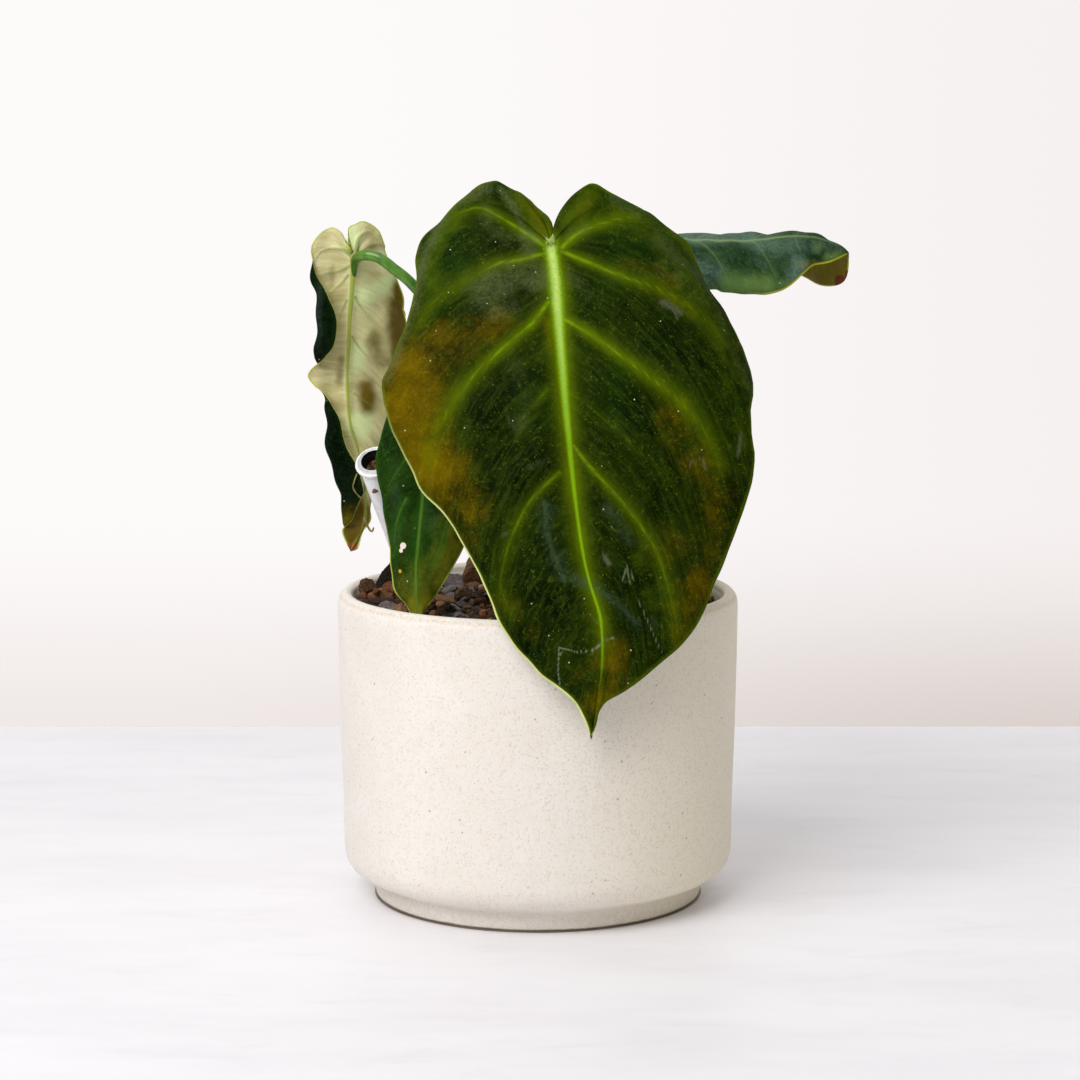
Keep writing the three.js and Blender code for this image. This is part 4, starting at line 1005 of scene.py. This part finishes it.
# Left leaf
# The narrow leaf on the left hangs with its pale underside to the viewer. Its outer half is rolled to the
# front, so the dark upper face shows as a strip beyond the margin, and its tip has dried to olive and brown.
left_leaf = {
    "rib": [
        [-69.2, 8, 243], [-69.6, 10, 235], [-71, 12, 217.5], [-72, 12.5, 196.4], [-71, 11.5, 181],
        [-67.7, 10, 169], [-65.6, 8.5, 154.6], [-66.4, 7.5, 142], [-71.2, 6, 131.8],
    ],
    "right": {
        "edge": [
            [-69.9, 245.2], [-72.6, 249.7], [-76, 254.2], [-79.7, 253.5], [-83.1, 250.5], [-85, 246.7],
            [-84.3, 241.1], [-82.5, 235.2], [-78.5, 228.4], [-76.3, 221.6], [-75.6, 216.4], [-76.8, 209.6],
            [-80.2, 205.8], [-86.5, 199.4], [-84.4, 195.6], [-80.3, 191.1], [-77.7, 187.7], [-74.4, 179.7],
            [-72.6, 172.1], [-68.5, 164.5], [-66.3, 155.3], [-67.1, 152.3], [-70.6, 144.2], [-74.4, 139.6],
            [-71.2, 131.8],
        ],
        "rows": [
            [0, 0, 0, 0, 0, 8], [0, 2, 1, 0, 2, 9], [0, 4.5, 0, 1, 4, 7], [0.6, 6.7, -14, 2, 0, 6],
            [1.3, 8.2, -17.3, 4.5, 0, 2], [2, 10.3, -18.9, 5.5, 0, 1], [2.6, 11.8, -15.8, 4.5, 0, 3],
            [2.85, 13, 0, 0, 0, 9], [3.4, 15.3, -7, 2, 0, 7], [4, 17, -13.2, 5, 0, 2],
            [5, 18.8, -19.4, 5, 0, 0], [6, 20.2, -17.5, 5, 0, -1], [6.8, 22, -11.2, 3, 0, 2],
            [7.2, 23, 0, 0, 0, 5], [8, 24, 0, 0, 0, 6],
        ],
    },
    "left": {
        "edge": [
            [-69.5, 245.2], [-71.1, 253.6], [-68.4, 255.7], [-65.8, 256.8], [-62.5, 255.7], [-59.5, 253.1],
            [-57.3, 247.9], [-56.9, 244.9], [-52.5, 234.4], [-50.3, 228], [-50.3, 222.8], [-49.6, 219],
            [-50, 205], [-53, 188], [-57, 174], [-60, 162], [-63.7, 148.8], [-63.7, 143.5], [-66.4, 139.3],
            [-68.4, 133.1], [-71.2, 131.8],
        ],
        "rows": [
            [0, 0, 0, 0, 0, 8], [0, 3.2, 0, 0, 1, 9], [0, 6.6, 0, -1, 5, 13], [0.6, 9.6, 2, -2, 6, 20],
            [1.3, 11.7, 3, -3, 7, 24], [2, 12.6, 3, -3, 6, 24], [2.6, 13, 2, -3, 5, 23],
            [2.85, 13.2, 2, -3, 5, 22], [3.4, 14, 2, -2, 4, 19], [4, 14.5, 1, -2, 4, 17],
            [5, 15.3, 1, -1, 3, 13], [6, 16.3, 0, 0, 1, 10], [6.8, 17.5, 0, 0, 0, 8],
            [7.2, 18.3, 0, 0, 0, 7], [8, 20, 0, 0, 0, 6],
        ],
    },
    "stalk": [
        [-1, 6, 131, 2.5], [-8, 4, 146, 2.4], [-19, 1, 183, 2.3], [-33.5, -1, 216, 2.2],
        [-46.2, -2, 232.3, 2.1], [-54, -1, 239, 2.1], [-60, 0, 243.2, 2.1], [-65.6, 2, 243.9, 2.0],
        [-68.9, 6, 241.8, 1.7], [-69.6, 9.6, 236, 0.8],
    ],
    "stalk_never": (0, 1, 0),
    "row_steps": 20, "column_steps": 80,
    "pucker": 0.6,
    "rib_width": [1.1, 0.75, 0.6, 0.5, 0.42, 0.38, 0.34, 0.3, 0.25],
    "rib_strength": [1, 1, 1, 1, 1, 0.9, 0.7, 0.4, 0.1],
    "vein_width": 0.4, "glow_width": 1.6, "under_rib": 0.8,
    "drawn_veins": [
        [0.9, [-70.1, 243.9], [-72.9, 246], [-77.2, 246.6], [-80.9, 245.7], [-83.3, 243.1], [-84.1, 239.9]],
        [0.7, [-70.6, 240.1], [-74.6, 238.3], [-78.9, 237.6], [-82.1, 236.5]],
        [0.8, [-71.2, 236.7], [-73.6, 233.6], [-76.3, 231.4], [-78.4, 229.1]],
        [0.7, [-71.7, 227.2], [-73.7, 223], [-75, 218.7]],
        [0.9, [-68, 245.7], [-67.5, 249.4], [-66, 252], [-63.4, 252.8], [-60.7, 250.5], [-58.6, 246.8]],
        [0.8, [-68.7, 228.5], [-67.3, 225.6], [-64.1, 221.9], [-60.4, 218.7]],
        [0.8, [-70.1, 213.4], [-66.4, 208.1], [-62.7, 203.8]],
        [0.6, [-69.5, 192], [-64.5, 188.5], [-59.5, 184]],
    ],
}
left_marks = {
    "bright": [[3, 1.5, [-71, 248], [-70, 243]]],
    "blotch": [
        [4.5, 1.4, [-50.6, 231], [-49.8, 214]], [5, 1.0, [-53.5, 225], [-52, 204]],
        [2.5, 0.5, [-62.3, 247.3], [-61.8, 250.5]],
        [4.5, 0.8, [-62.1, 212.3], [-58.4, 204.9]], [4.5, 1.0, [-64.9, 194.2], [-63.9, 187.8]],
        [2.5, 0.65, [-73.9, 204.9], [-74.8, 196.3]], [2, 0.5, [-77, 240], [-77.5, 233]],
        [9, 1.3, [-69, 135], [-69, 145]],
    ],
    "pale": [
        [5, 0.9, [-67.3, 228.3], [-57, 233]], [4, 0.8, [-68.6, 202.7], [-67.4, 209.1]],
        [6.5, 1.1, [-67.7, 180.3]],
        [3.6, 0.9, [-69.4, 248.6], [-69.4, 253.4]], [5, 0.5, [-66, 215], [-66, 241]],
    ],
    "olive": [[9, 1.2, [-70, 139]]],
    # Painted highlight: two faint haze strokes on the dark rolled strip where the velvet catches light
    "painted_sheen": [[2.2, 0.5, [-82, 209.2], [-82, 232.8]], [3, 0.4, [-81, 161], [-81, 175]]],
    "brown": [[3.2, 1.4, [-71, 129.7], [-71, 132.3]]],
}
# The sheen and cool tones here are the colours of the painted highlight on the velvet
left_upper = velvet("left_velvet", {
    "dark": paint(0, 6, 0), "middle": paint(6, 20, 4), "deep": paint(2, 14, 2), "cool": paint(40, 70, 60),
    "light": paint(26, 44, 24), "olive": paint(92, 80, 4), "fibre": paint(30, 50, 24),
    "ochre": paint(110, 98, 10), "glow": paint(20, 40, 12), "vein": paint(60, 84, 48),
    "rib": paint(80, 104, 60), "painted_sheen": paint(54, 74, 62), "margin": paint(176, 184, 96),
    "scar": paint(110, 110, 90), "dry": paint(112, 60, 22),
})
left_under = leaf_under("left_underside", {
    "ground": paint(198, 188, 132), "streak": paint(222, 216, 164), "pale": paint(222, 234, 172),
    "blotch": paint(108, 88, 10), "vein": paint(122, 140, 48), "rib": paint(162, 172, 60),
    "margin": paint(184, 192, 84), "dry": paint(150, 96, 44),
})
left_finishes = (left_upper, left_under, stalk_green)
left = leaf_piece("left_leaf_blade", left_leaf, left_marks, left_finishes)
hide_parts("left_leaf")

# Two dried wisps of the old sheath hang from the rolled tip: a thin loop and a small hook
wisp_loop = [[-68.4, -1, 161.7, 0.3], [-69.6, -1.6, 158.6, 0.3], [-69.9, -1.6, 156.3, 0.3],
             [-68.6, -1, 154, 0.3], [-67, -0.2, 152.2, 0.35]]
wisp_hook = [[-66.2, 2, 144.5, 0.4], [-64.9, 1.5, 141.6, 0.42], [-63.9, 1, 139.9, 0.42],
             [-63, 0.8, 139.5, 0.4], [-62.4, 0.8, 140.9, 0.3]]
dry_finish = stalk_skin("dry_wisp", paint(70, 52, 18), paint(142, 128, 62))
for name, path in (("wisp_loop", wisp_loop), ("wisp_hook", wisp_hook)):
    wisp_points, wisp_triangles, _ = swept(path, 12, 8, (0, 1, 0))
    wisp = mesh_object(name, wisp_points, wisp_triangles)
    wisp.data.materials.append(dry_finish)
    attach(wisp, "root")
    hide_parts("left_leaf")


# Right leaf
# The leaf that reaches out to the right, nearly level, its blue-green upper face to the viewer. Its far half
# is bent down past the tip, where the underside has dried to olive yellow with a torn brown end.
right_leaf = {
    "rib": [
        [28, 20, 247], [45, 25, 250.5], [62, 30, 250], [80, 36, 249.5], [96, 43, 251], [108, 48, 249.5],
        [116.7, 52, 244.9],
    ],
    "left": {
        "edge": [
            [26.6, 246.2], [22, 241], [25, 234], [36, 229], [50, 228], [65, 231], [69.6, 230.3],
            [77.5, 229.5], [87.2, 229.5], [94.3, 232.3], [99.5, 237], [103, 240], [110, 241.5],
            [116.7, 244.9],
        ],
        "rows": [
            [0, 0, 0, 0, 0, 19], [0, 1.6, 0, 0, 2, 9], [0, 3.2, 2, -1, 3, 3], [0.7, 4.6, 4, -2, 4, 4],
            [1.8, 6.4, 4, -2, 4, 9], [3, 8.4, 3, -2, 3, 18], [4, 10, 1, -1, 1, 31],
            [5, 11.9, 0, 0, 0.5, 44], [6, 13, 0, 0, 0, 52],
        ],
        "veins": {2: 0.6, 3: 0.6, 4: 0.7, 5: 0.6, 6: 0.4},
    },
    "right": {
        "edge": [
            [26.8, 249], [21, 252], [25, 254], [36, 254], [50, 252], [64, 249], [78, 247], [90, 243],
            [99.5, 236], [106, 233], [111.8, 232.7], [115, 234.5], [116.4, 239], [116.7, 244.9],
        ],
        "rows": [
            [0, 0, 0, 0, 0, 22], [0, 1.7, 0, 0, 2, 34], [0, 3.1, 2, 2, 1, 45], [0.7, 4.6, 4, 4, 2, 58],
            [1.8, 6, 4, 5, 6, 66], [3, 7.5, 3, 4, 12, 66], [4, 9, 2, 3, 16, 61],
            [5, 10.9, 1, 1, 9, 56], [6, 13, 0, 0, 0, 52],
        ],
        "veins": {2: 0.6, 3: 0.6, 4: 0.6, 5: 0.5, 6: 0.3},
    },
    "stalk": [
        [1, 6, 123, 2.5], [7, 9, 136, 2.4], [13, 12, 170, 2.2], [18, 15, 210, 2.1], [23, 17, 236, 2],
        [27, 19, 244.5, 1.9], [32, 20.6, 246.6, 1.5], [38, 22.6, 247.6, 0.9],
    ],
    "stalk_never": (0, 1, 0),
    "row_steps": 26, "column_steps": 90,
    "pucker": 0.6,
    "rib_width": [1.6, 1.3, 1.1, 0.9, 0.7, 0.5, 0.3],
    "rib_strength": [1, 1, 0.9, 0.7, 0.5, 0.3, 0],
    "vein_width": 0.4, "glow_width": 2.6, "under_rib": 1.4,
}
right_marks = {
    # Painted highlight: broad haze strokes where the velvet catches light along the blade
    "painted_sheen": [
        [4, 0.9, [52, 251], [80, 251]], [5, 0.8, [84, 248], [98, 248]], [4, 1.0, [97, 235], [97, 241]],
        [7, 0.7, [57, 238], [63, 238]],
        [5, 0.4, [84, 241]], [4, 0.6, [103, 248], [111, 248]],
    ],
    "light": [
        [5, 0.9, [72, 233], [86, 233]], [3, 0.8, [105, 247]], [3, 1.0, [109, 243], [113, 243]],
        [3, 0.7, [92, 233], [96, 233]],
    ],
    "olive": [[2.2, 0.7, [97.2, 240], [104.8, 240]]],
    "blotch": [[12, 1.4, [106, 238], [110, 238]]],
    "brown": [[2, 1.5, [113.4, 233], [113.4, 235]], [1.4, 1.2, [116.2, 235], [116.2, 237.4]]],
    "pale": [[1.2, 1.0, [115.6, 237.2], [115.6, 241.8]]],
}
# The sheen and cool tones here are the colours of the painted highlight on the velvet
right_upper = velvet("right_velvet", {
    "dark": paint(14, 34, 8), "middle": paint(46, 72, 44), "deep": paint(24, 56, 26),
    "cool": paint(90, 118, 104), "light": paint(100, 130, 66), "olive": paint(96, 88, 4),
    "fibre": paint(78, 104, 70), "ochre": paint(120, 108, 20), "glow": paint(70, 96, 50),
    "vein": paint(124, 146, 96), "rib": paint(124, 146, 108), "painted_sheen": paint(108, 136, 120),
    "margin": paint(172, 172, 44), "scar": paint(110, 120, 100), "dry": paint(104, 52, 14),
})
right_under = leaf_under("right_underside", {
    "ground": paint(150, 150, 92), "streak": paint(170, 168, 110), "pale": paint(192, 190, 128),
    "blotch": paint(108, 96, 2), "vein": paint(128, 146, 60), "rib": paint(140, 156, 62),
    "margin": paint(172, 172, 44), "dry": paint(104, 50, 10),
})
right_finishes = (right_upper, right_under, stalk_green)
right = leaf_piece("right_leaf_blade", right_leaf, right_marks, right_finishes)
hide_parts("right_leaf")


# Small leaf
# The smallest leaf stands at the front left, dark green with hair-thin pale veins, a bleached scar and its
# olive tip tucked down inside the pot's rim.
small_leaf = {
    "rib": [
        [-38.7, -33, 188.7], [-41, -38, 176], [-43.2, -41.5, 163], [-44, -44, 150], [-45.3, -46, 137],
        [-46.4, -47.5, 125.4], [-46.2, -49, 114], [-45, -50, 103.5],
    ],
    "left": {
        "edge": [
            [-39.6, 189.8], [-42, 194.5], [-46.5, 196.5], [-51.5, 193.5], [-55, 188], [-57.2, 182],
            [-59.7, 176.3], [-61.3, 169.1], [-61.3, 163.4], [-60.2, 156.5], [-58.4, 145.4], [-56.6, 134.3],
            [-55.9, 125.4], [-54.4, 116.9], [-50.3, 110.8], [-45, 103.5],
        ],
        "rows": [
            [0, 0, 0, 0, 0, -33], [0, 1.8, 0, 0, 1, -29], [0, 4.2, 0, 0, 6, -31], [0.7, 7, -2, -2, 6, -36],
            [2.1, 9.6, -3, -2, 5, -40], [3.6, 11.4, -3, -2, 5, -42], [5, 13, -2, -1, 4, -43],
            [6, 14.2, -1, 0, 2, -46], [7, 15, 0, 0, 0, -50],
        ],
        "veins": {3: 0.2, 4: 0.25},
    },
    "right": {
        "edge": [
            [-37.9, 189.8], [-36, 194], [-32, 196], [-27.5, 193], [-24.5, 186], [-22.8, 176], [-22.5, 165],
            [-23.5, 152], [-26, 141], [-28.1, 133.5], [-32.3, 125.8], [-39.2, 114], [-42.8, 109],
            [-45, 103.5],
        ],
        "rows": [
            [0, 0, 0, 0, 0, -33], [0, 1.8, 0, 0, 1, -29], [0, 3.8, 0, 0, 6, -30], [0.7, 5.8, 2, -2, 7, -34],
            [2.1, 7.6, 3, -2, 6, -38], [3.6, 9.2, 3, -2, 6, -42], [5, 10.6, 2, -1, 4, -45],
            [6, 11.6, 1, 0, 2, -48], [7, 13, 0, 0, 0, -50],
        ],
        "veins": {3: 0.2, 4: 0.25},
    },
    "stalk": [
        [-1, 6, 116, 2.1], [-7, -1, 128, 2], [-15, -9, 156, 1.8], [-24, -16, 182, 1.6],
        [-32, -22, 192, 1.5], [-36, -27, 191, 1.4], [-38.4, -31.6, 187.6, 1.2], [-40, -35.4, 181, 0.7],
    ],
    "stalk_never": (0, 1, 0),
    "row_steps": 26, "column_steps": 70,
    "pucker": 0.7,
    "rib_width": [0.8, 0.7, 0.6, 0.6, 0.6, 0.6, 0.5, 0.3],
    "rib_strength": [0.8, 0.75, 0.7, 0.7, 0.7, 0.6, 0.5, 0],
    "vein_width": 0.3, "glow_width": 3.0, "under_rib": 1.1,
    "drawn_veins": [
        [0.9, [-33.5, 145], [-35.3, 140.2], [-37.4, 133], [-40.4, 125.7], [-42.4, 119]],
        [0.8, [-49.8, 152], [-52.7, 145.2], [-54.2, 138], [-54, 130.4]],
        [0.6, [-49.5, 168], [-53.4, 161.8], [-56.2, 157], [-57.6, 150.7]],
    ],
}
small_marks = {
    "bright": [[4, 1.0, [-23, 150], [-28, 133.5], [-39, 114]], [3, 1.0, [-55, 120], [-50, 110]]],
    "olive": [[13, 1.0, [-50, 104], [-43, 106]], [9, 0.5, [-50, 119], [-39, 122]],
              [8, 0.6, [-31, 141], [-34, 130], [-40, 118]]],
    # Painted highlight: faint haze strokes where the velvet catches light
    "painted_sheen": [[3, 0.4, [-54, 137], [-54, 163]], [5, 0.35, [-40, 141], [-40, 159]]],
    "light": [[6, 0.7, [-37, 128], [-37, 140]]],
    "spot": [[1.1, 1.6, [-50.9, 133.9], [-50.9, 134.1]], [0.7, 1.5, [-51.6, 132.1], [-51.6, 132.3]]],
    "brown": [[0.6, 1.3, [-52.4, 124.1], [-52.4, 124.5]]],
}
# The sheen and cool tones here are the colours of the painted highlight on the velvet
small_upper = velvet("small_velvet", {
    "dark": paint(10, 26, 2), "middle": paint(34, 54, 8), "deep": paint(20, 46, 8),
    "light": paint(60, 92, 22), "cool": paint(60, 86, 66), "olive": paint(128, 122, 24),
    "fibre": paint(56, 96, 36), "ochre": paint(140, 134, 40), "glow": paint(44, 88, 22),
    "vein": paint(86, 120, 38), "rib": paint(54, 114, 8), "painted_sheen": paint(64, 86, 62),
    "margin": paint(176, 186, 84), "scar": paint(120, 120, 100), "dry": paint(206, 160, 40),
})
small_under = leaf_under("small_underside", {
    "ground": paint(92, 104, 58), "streak": paint(120, 130, 76), "pale": paint(150, 160, 100),
    "blotch": paint(104, 84, 40), "vein": paint(130, 156, 74), "rib": paint(140, 166, 80),
    "margin": paint(176, 186, 84), "dry": paint(110, 60, 20),
})
small_finishes = (small_upper, small_under, stalk_green)
small = leaf_piece("small_leaf_blade", small_leaf, small_marks, small_finishes)
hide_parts("small_leaf")


# Watering tube
# A thin white moulded plastic tube with a rolled lip, pushed into the mix so that it leans to the front left.
# It is filled to just under the lip with dark granules, and a few crumbs of mix stick to its outside.
tube_bore = 5.1
tube_radius = 6.2
tube_lip = 7.4
tube_length = 96.0
tube_mouth = np.array([-60.6, -24.0, 169.1])
tube_lean = np.array([-0.2, -0.66, 0.725])
tube_lean = tube_lean / np.linalg.norm(tube_lean)
tube_profile = [
    [tube_bore, -tube_length], [tube_radius, -tube_length], [tube_radius, -90], [tube_radius, -6],
    [tube_radius, -3.4], [tube_radius + 0.5, -2.2], [tube_lip - 0.3, -1.3], [tube_lip, -0.6],
    [tube_lip - 0.3, 0], [tube_lip - 0.9, 0], [tube_bore + 0.9, -1], [tube_bore, -2.8], [tube_bore, -6],
    [tube_bore, -90], [tube_bore, -tube_length],
]
fill_profile = [
    [0, -tube_length + 1], [tube_bore - gap, -tube_length + 1], [tube_bore - gap, -90],
    [tube_bore - gap, -6], [tube_bore - gap, -4.4], [tube_bore - 1.6, -3.6], [2, -3.9], [0, -3.4],
]


def leaned(points):
    """Points of an upright shape, its mouth at the origin, turned onto the tube's line. With w = Z cross the
    lean and c = Z dot the lean, the turn is I + W + W W / (1 + c), W being the cross-product matrix of w."""
    wx, wy, c = -tube_lean[1], tube_lean[0], tube_lean[2]
    cross = np.array([[0, 0, wy], [0, 0, -wx], [-wy, wx, 0]])
    turn = np.eye(3) + cross + cross @ cross / (1 + c)
    return points @ turn.T + tube_mouth


def white_plastic():
    """Smooth white plastic with faint scuffs."""
    f = Finish("white_plastic", Specular_IOR_Level=0.5)
    scuffs = f.noise(f.place(), 0.4, 3)
    colour = f.mix(f.step(scuffs, 0.4, 0.7), paint(246, 247, 248), paint(232, 233, 234))
    return f.done(colour, 0.32)


tube_points, tube_triangles = turned(tube_profile, 96, 4)
tube = mesh_object("tube_wall", leaned(tube_points), tube_triangles)
tube.data.materials.append(white_plastic())
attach(tube, "root")
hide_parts("watering_tube")

fill_points, fill_triangles = turned(fill_profile, 48, 3)
fill = mesh_object("fill_core", leaned(fill_points), fill_triangles)
set_field(fill, "tone", np.full(len(fill_points), 0.2))
fill.data.materials.append(soil_finish)
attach(fill, "root")
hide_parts("tube_fill")

grain_count = 34
grain_turn = draw.uniform(0, 2 * math.pi, grain_count)
grain_radius = 3.7 * np.sqrt(draw.random(grain_count))
grain_places = leaned(np.stack([grain_radius * np.cos(grain_turn), grain_radius * np.sin(grain_turn),
                                draw.uniform(-4.2, -2.8, grain_count)], 1))
grain_sizes = draw.uniform([1.2, 1.0, 0.9], [2.6, 2.1, 1.8], (grain_count, 3))
cut_chips("fill_grains", grain_places, grain_sizes, draw.uniform(0, 3, (3, grain_count)), 2,
          node="tube_fill").data.materials.append(bark_finish)

# Crumbs on the tube's front: how far down from the mouth, round it from straight down, and size
tube_crumbs = np.array([[9.5, -0.35, 2.4], [23.5, 0.5, 1.6], [33.0, 0.45, 2.0]])
down, round_by, crumb_size = tube_crumbs.T
crumb_reach = tube_radius + 0.3
crumb_places = leaned(np.stack([crumb_reach * np.sin(round_by), -crumb_reach * np.cos(round_by), -down], 1))
cut_chips("tube_crumbs", crumb_places, crumb_size[:, None] * [1.0, 0.7, 0.8], [down, down, down], 2,
          node="tube_fill").data.materials.append(bark_finish)


# Table and wall
# A pale satin table top that ends 0.31 m behind the pot's axis, and a plain warm-white wall well behind it.
table_back = 309.0
wall_back = 2300.0


def flat_sheet(name, corners, columns, rows):
    """A flat four-sided sheet between corners a, b, c, d, as a grid of points."""
    a, b, c, d = (np.array(corner, float) for corner in corners)
    s, t = np.meshgrid(np.linspace(0, 1, columns), np.linspace(0, 1, rows))
    s, t = s[..., None], t[..., None]
    points = (a * (1 - s) + b * s) * (1 - t) + (d * (1 - s) + c * s) * t
    made = mesh_object(name, points.reshape(-1, 3), grid_triangles(rows, columns))
    return made


def table_finish():
    """Satin white stone with very faint long grey veins and clouds."""
    f = Finish("table_white", Specular_IOR_Level=0.25)
    place = f.stretch(f.place(), 0.35, 1.0, 1.0)
    clouds = f.noise(place, 0.02, 5, 0.6)
    streaks = f.noise(place, 0.07, 5, 0.6, 0.6)
    colour = f.mix(f.step(clouds, 0.35, 0.7), paint(241, 240, 243), paint(236, 234, 238))
    colour = f.mix(f.step(streaks, 0.5, 0.8, 0, 0.3), colour, paint(220, 217, 221))
    return f.done(colour, 0.4)


def wall_finish():
    """A plain wall far behind that glows by itself rather than being lit: its brightness is painted on,
    with painted shade falling off to the right and towards the table's edge."""
    f = Finish("wall_white", Specular_IOR_Level=0.0)
    x, _, z = f.parts_of(f.place())
    # Painted light and shade: bright high up, darker low down and darker still towards the right
    high = f.mix(f.step(x, -300, 700), paint(253, 250, 250), paint(246, 241, 240))
    low = f.mix(f.step(x, -500, 600), paint(238, 230, 227), paint(216, 206, 201))
    lit = f.mix(f.step(z, -480, -150), low, high)
    f.tree.links.new(lit, f.shader.inputs["Emission Color"])
    f.shader.inputs["Emission Strength"].default_value = 1.0
    return f.done((0.0, 0.0, 0.0, 1.0), 1.0)


table = flat_sheet("table_top", [
    [-3000, -3000, 0], [3000, -3000, 0], [3000, table_back, 0], [-3000, table_back, 0],
], 60, 40)
table.data.materials.append(table_finish())
wall = flat_sheet("back_wall", [
    [-4000, wall_back, -2500], [4000, wall_back, -2500], [4000, wall_back, 3500], [-4000, wall_back, 3500],
], 60, 60)
wall.data.materials.append(wall_finish())


# Daylight
# One large soft window to the front left, a broad soft light from above and an even bright room all round.
def window(name, place, aim, size, power, colour):
    """A square soft light of a size in metres, turned from its place towards its aim."""
    data = bpy.data.lights.new(name, "AREA")
    data.size = size
    data.energy = power
    data.color = colour
    lamp = bpy.data.objects.new(name, data)
    lamp.location = place
    away = np.array(place) - aim
    lamp.rotation_euler = (math.atan2(math.hypot(away[0], away[1]), away[2]), 0,
                           math.atan2(away[1], away[0]) + math.pi / 2)
    world_scene.collection.objects.link(lamp)


window("left_window", (-0.92, -1.37, 1.58), np.array([0, 0, 0.12]), 1.4, 38, (1.0, 0.99, 0.98))
window("ceiling", (0.2, -0.3, 2.6), np.array([0, 0, 0.0]), 2.4, 14, (1.0, 0.99, 1.0))
room = bpy.data.worlds.new("room")
world_scene.world = room
room.use_nodes = True
room.node_tree.nodes["Background"].inputs["Color"].default_value = (1.0, 0.99, 0.995, 1)
room.node_tree.nodes["Background"].inputs["Strength"].default_value = 0.3
world_scene.view_settings.view_transform = "Standard"
world_scene.view_settings.look = "None"
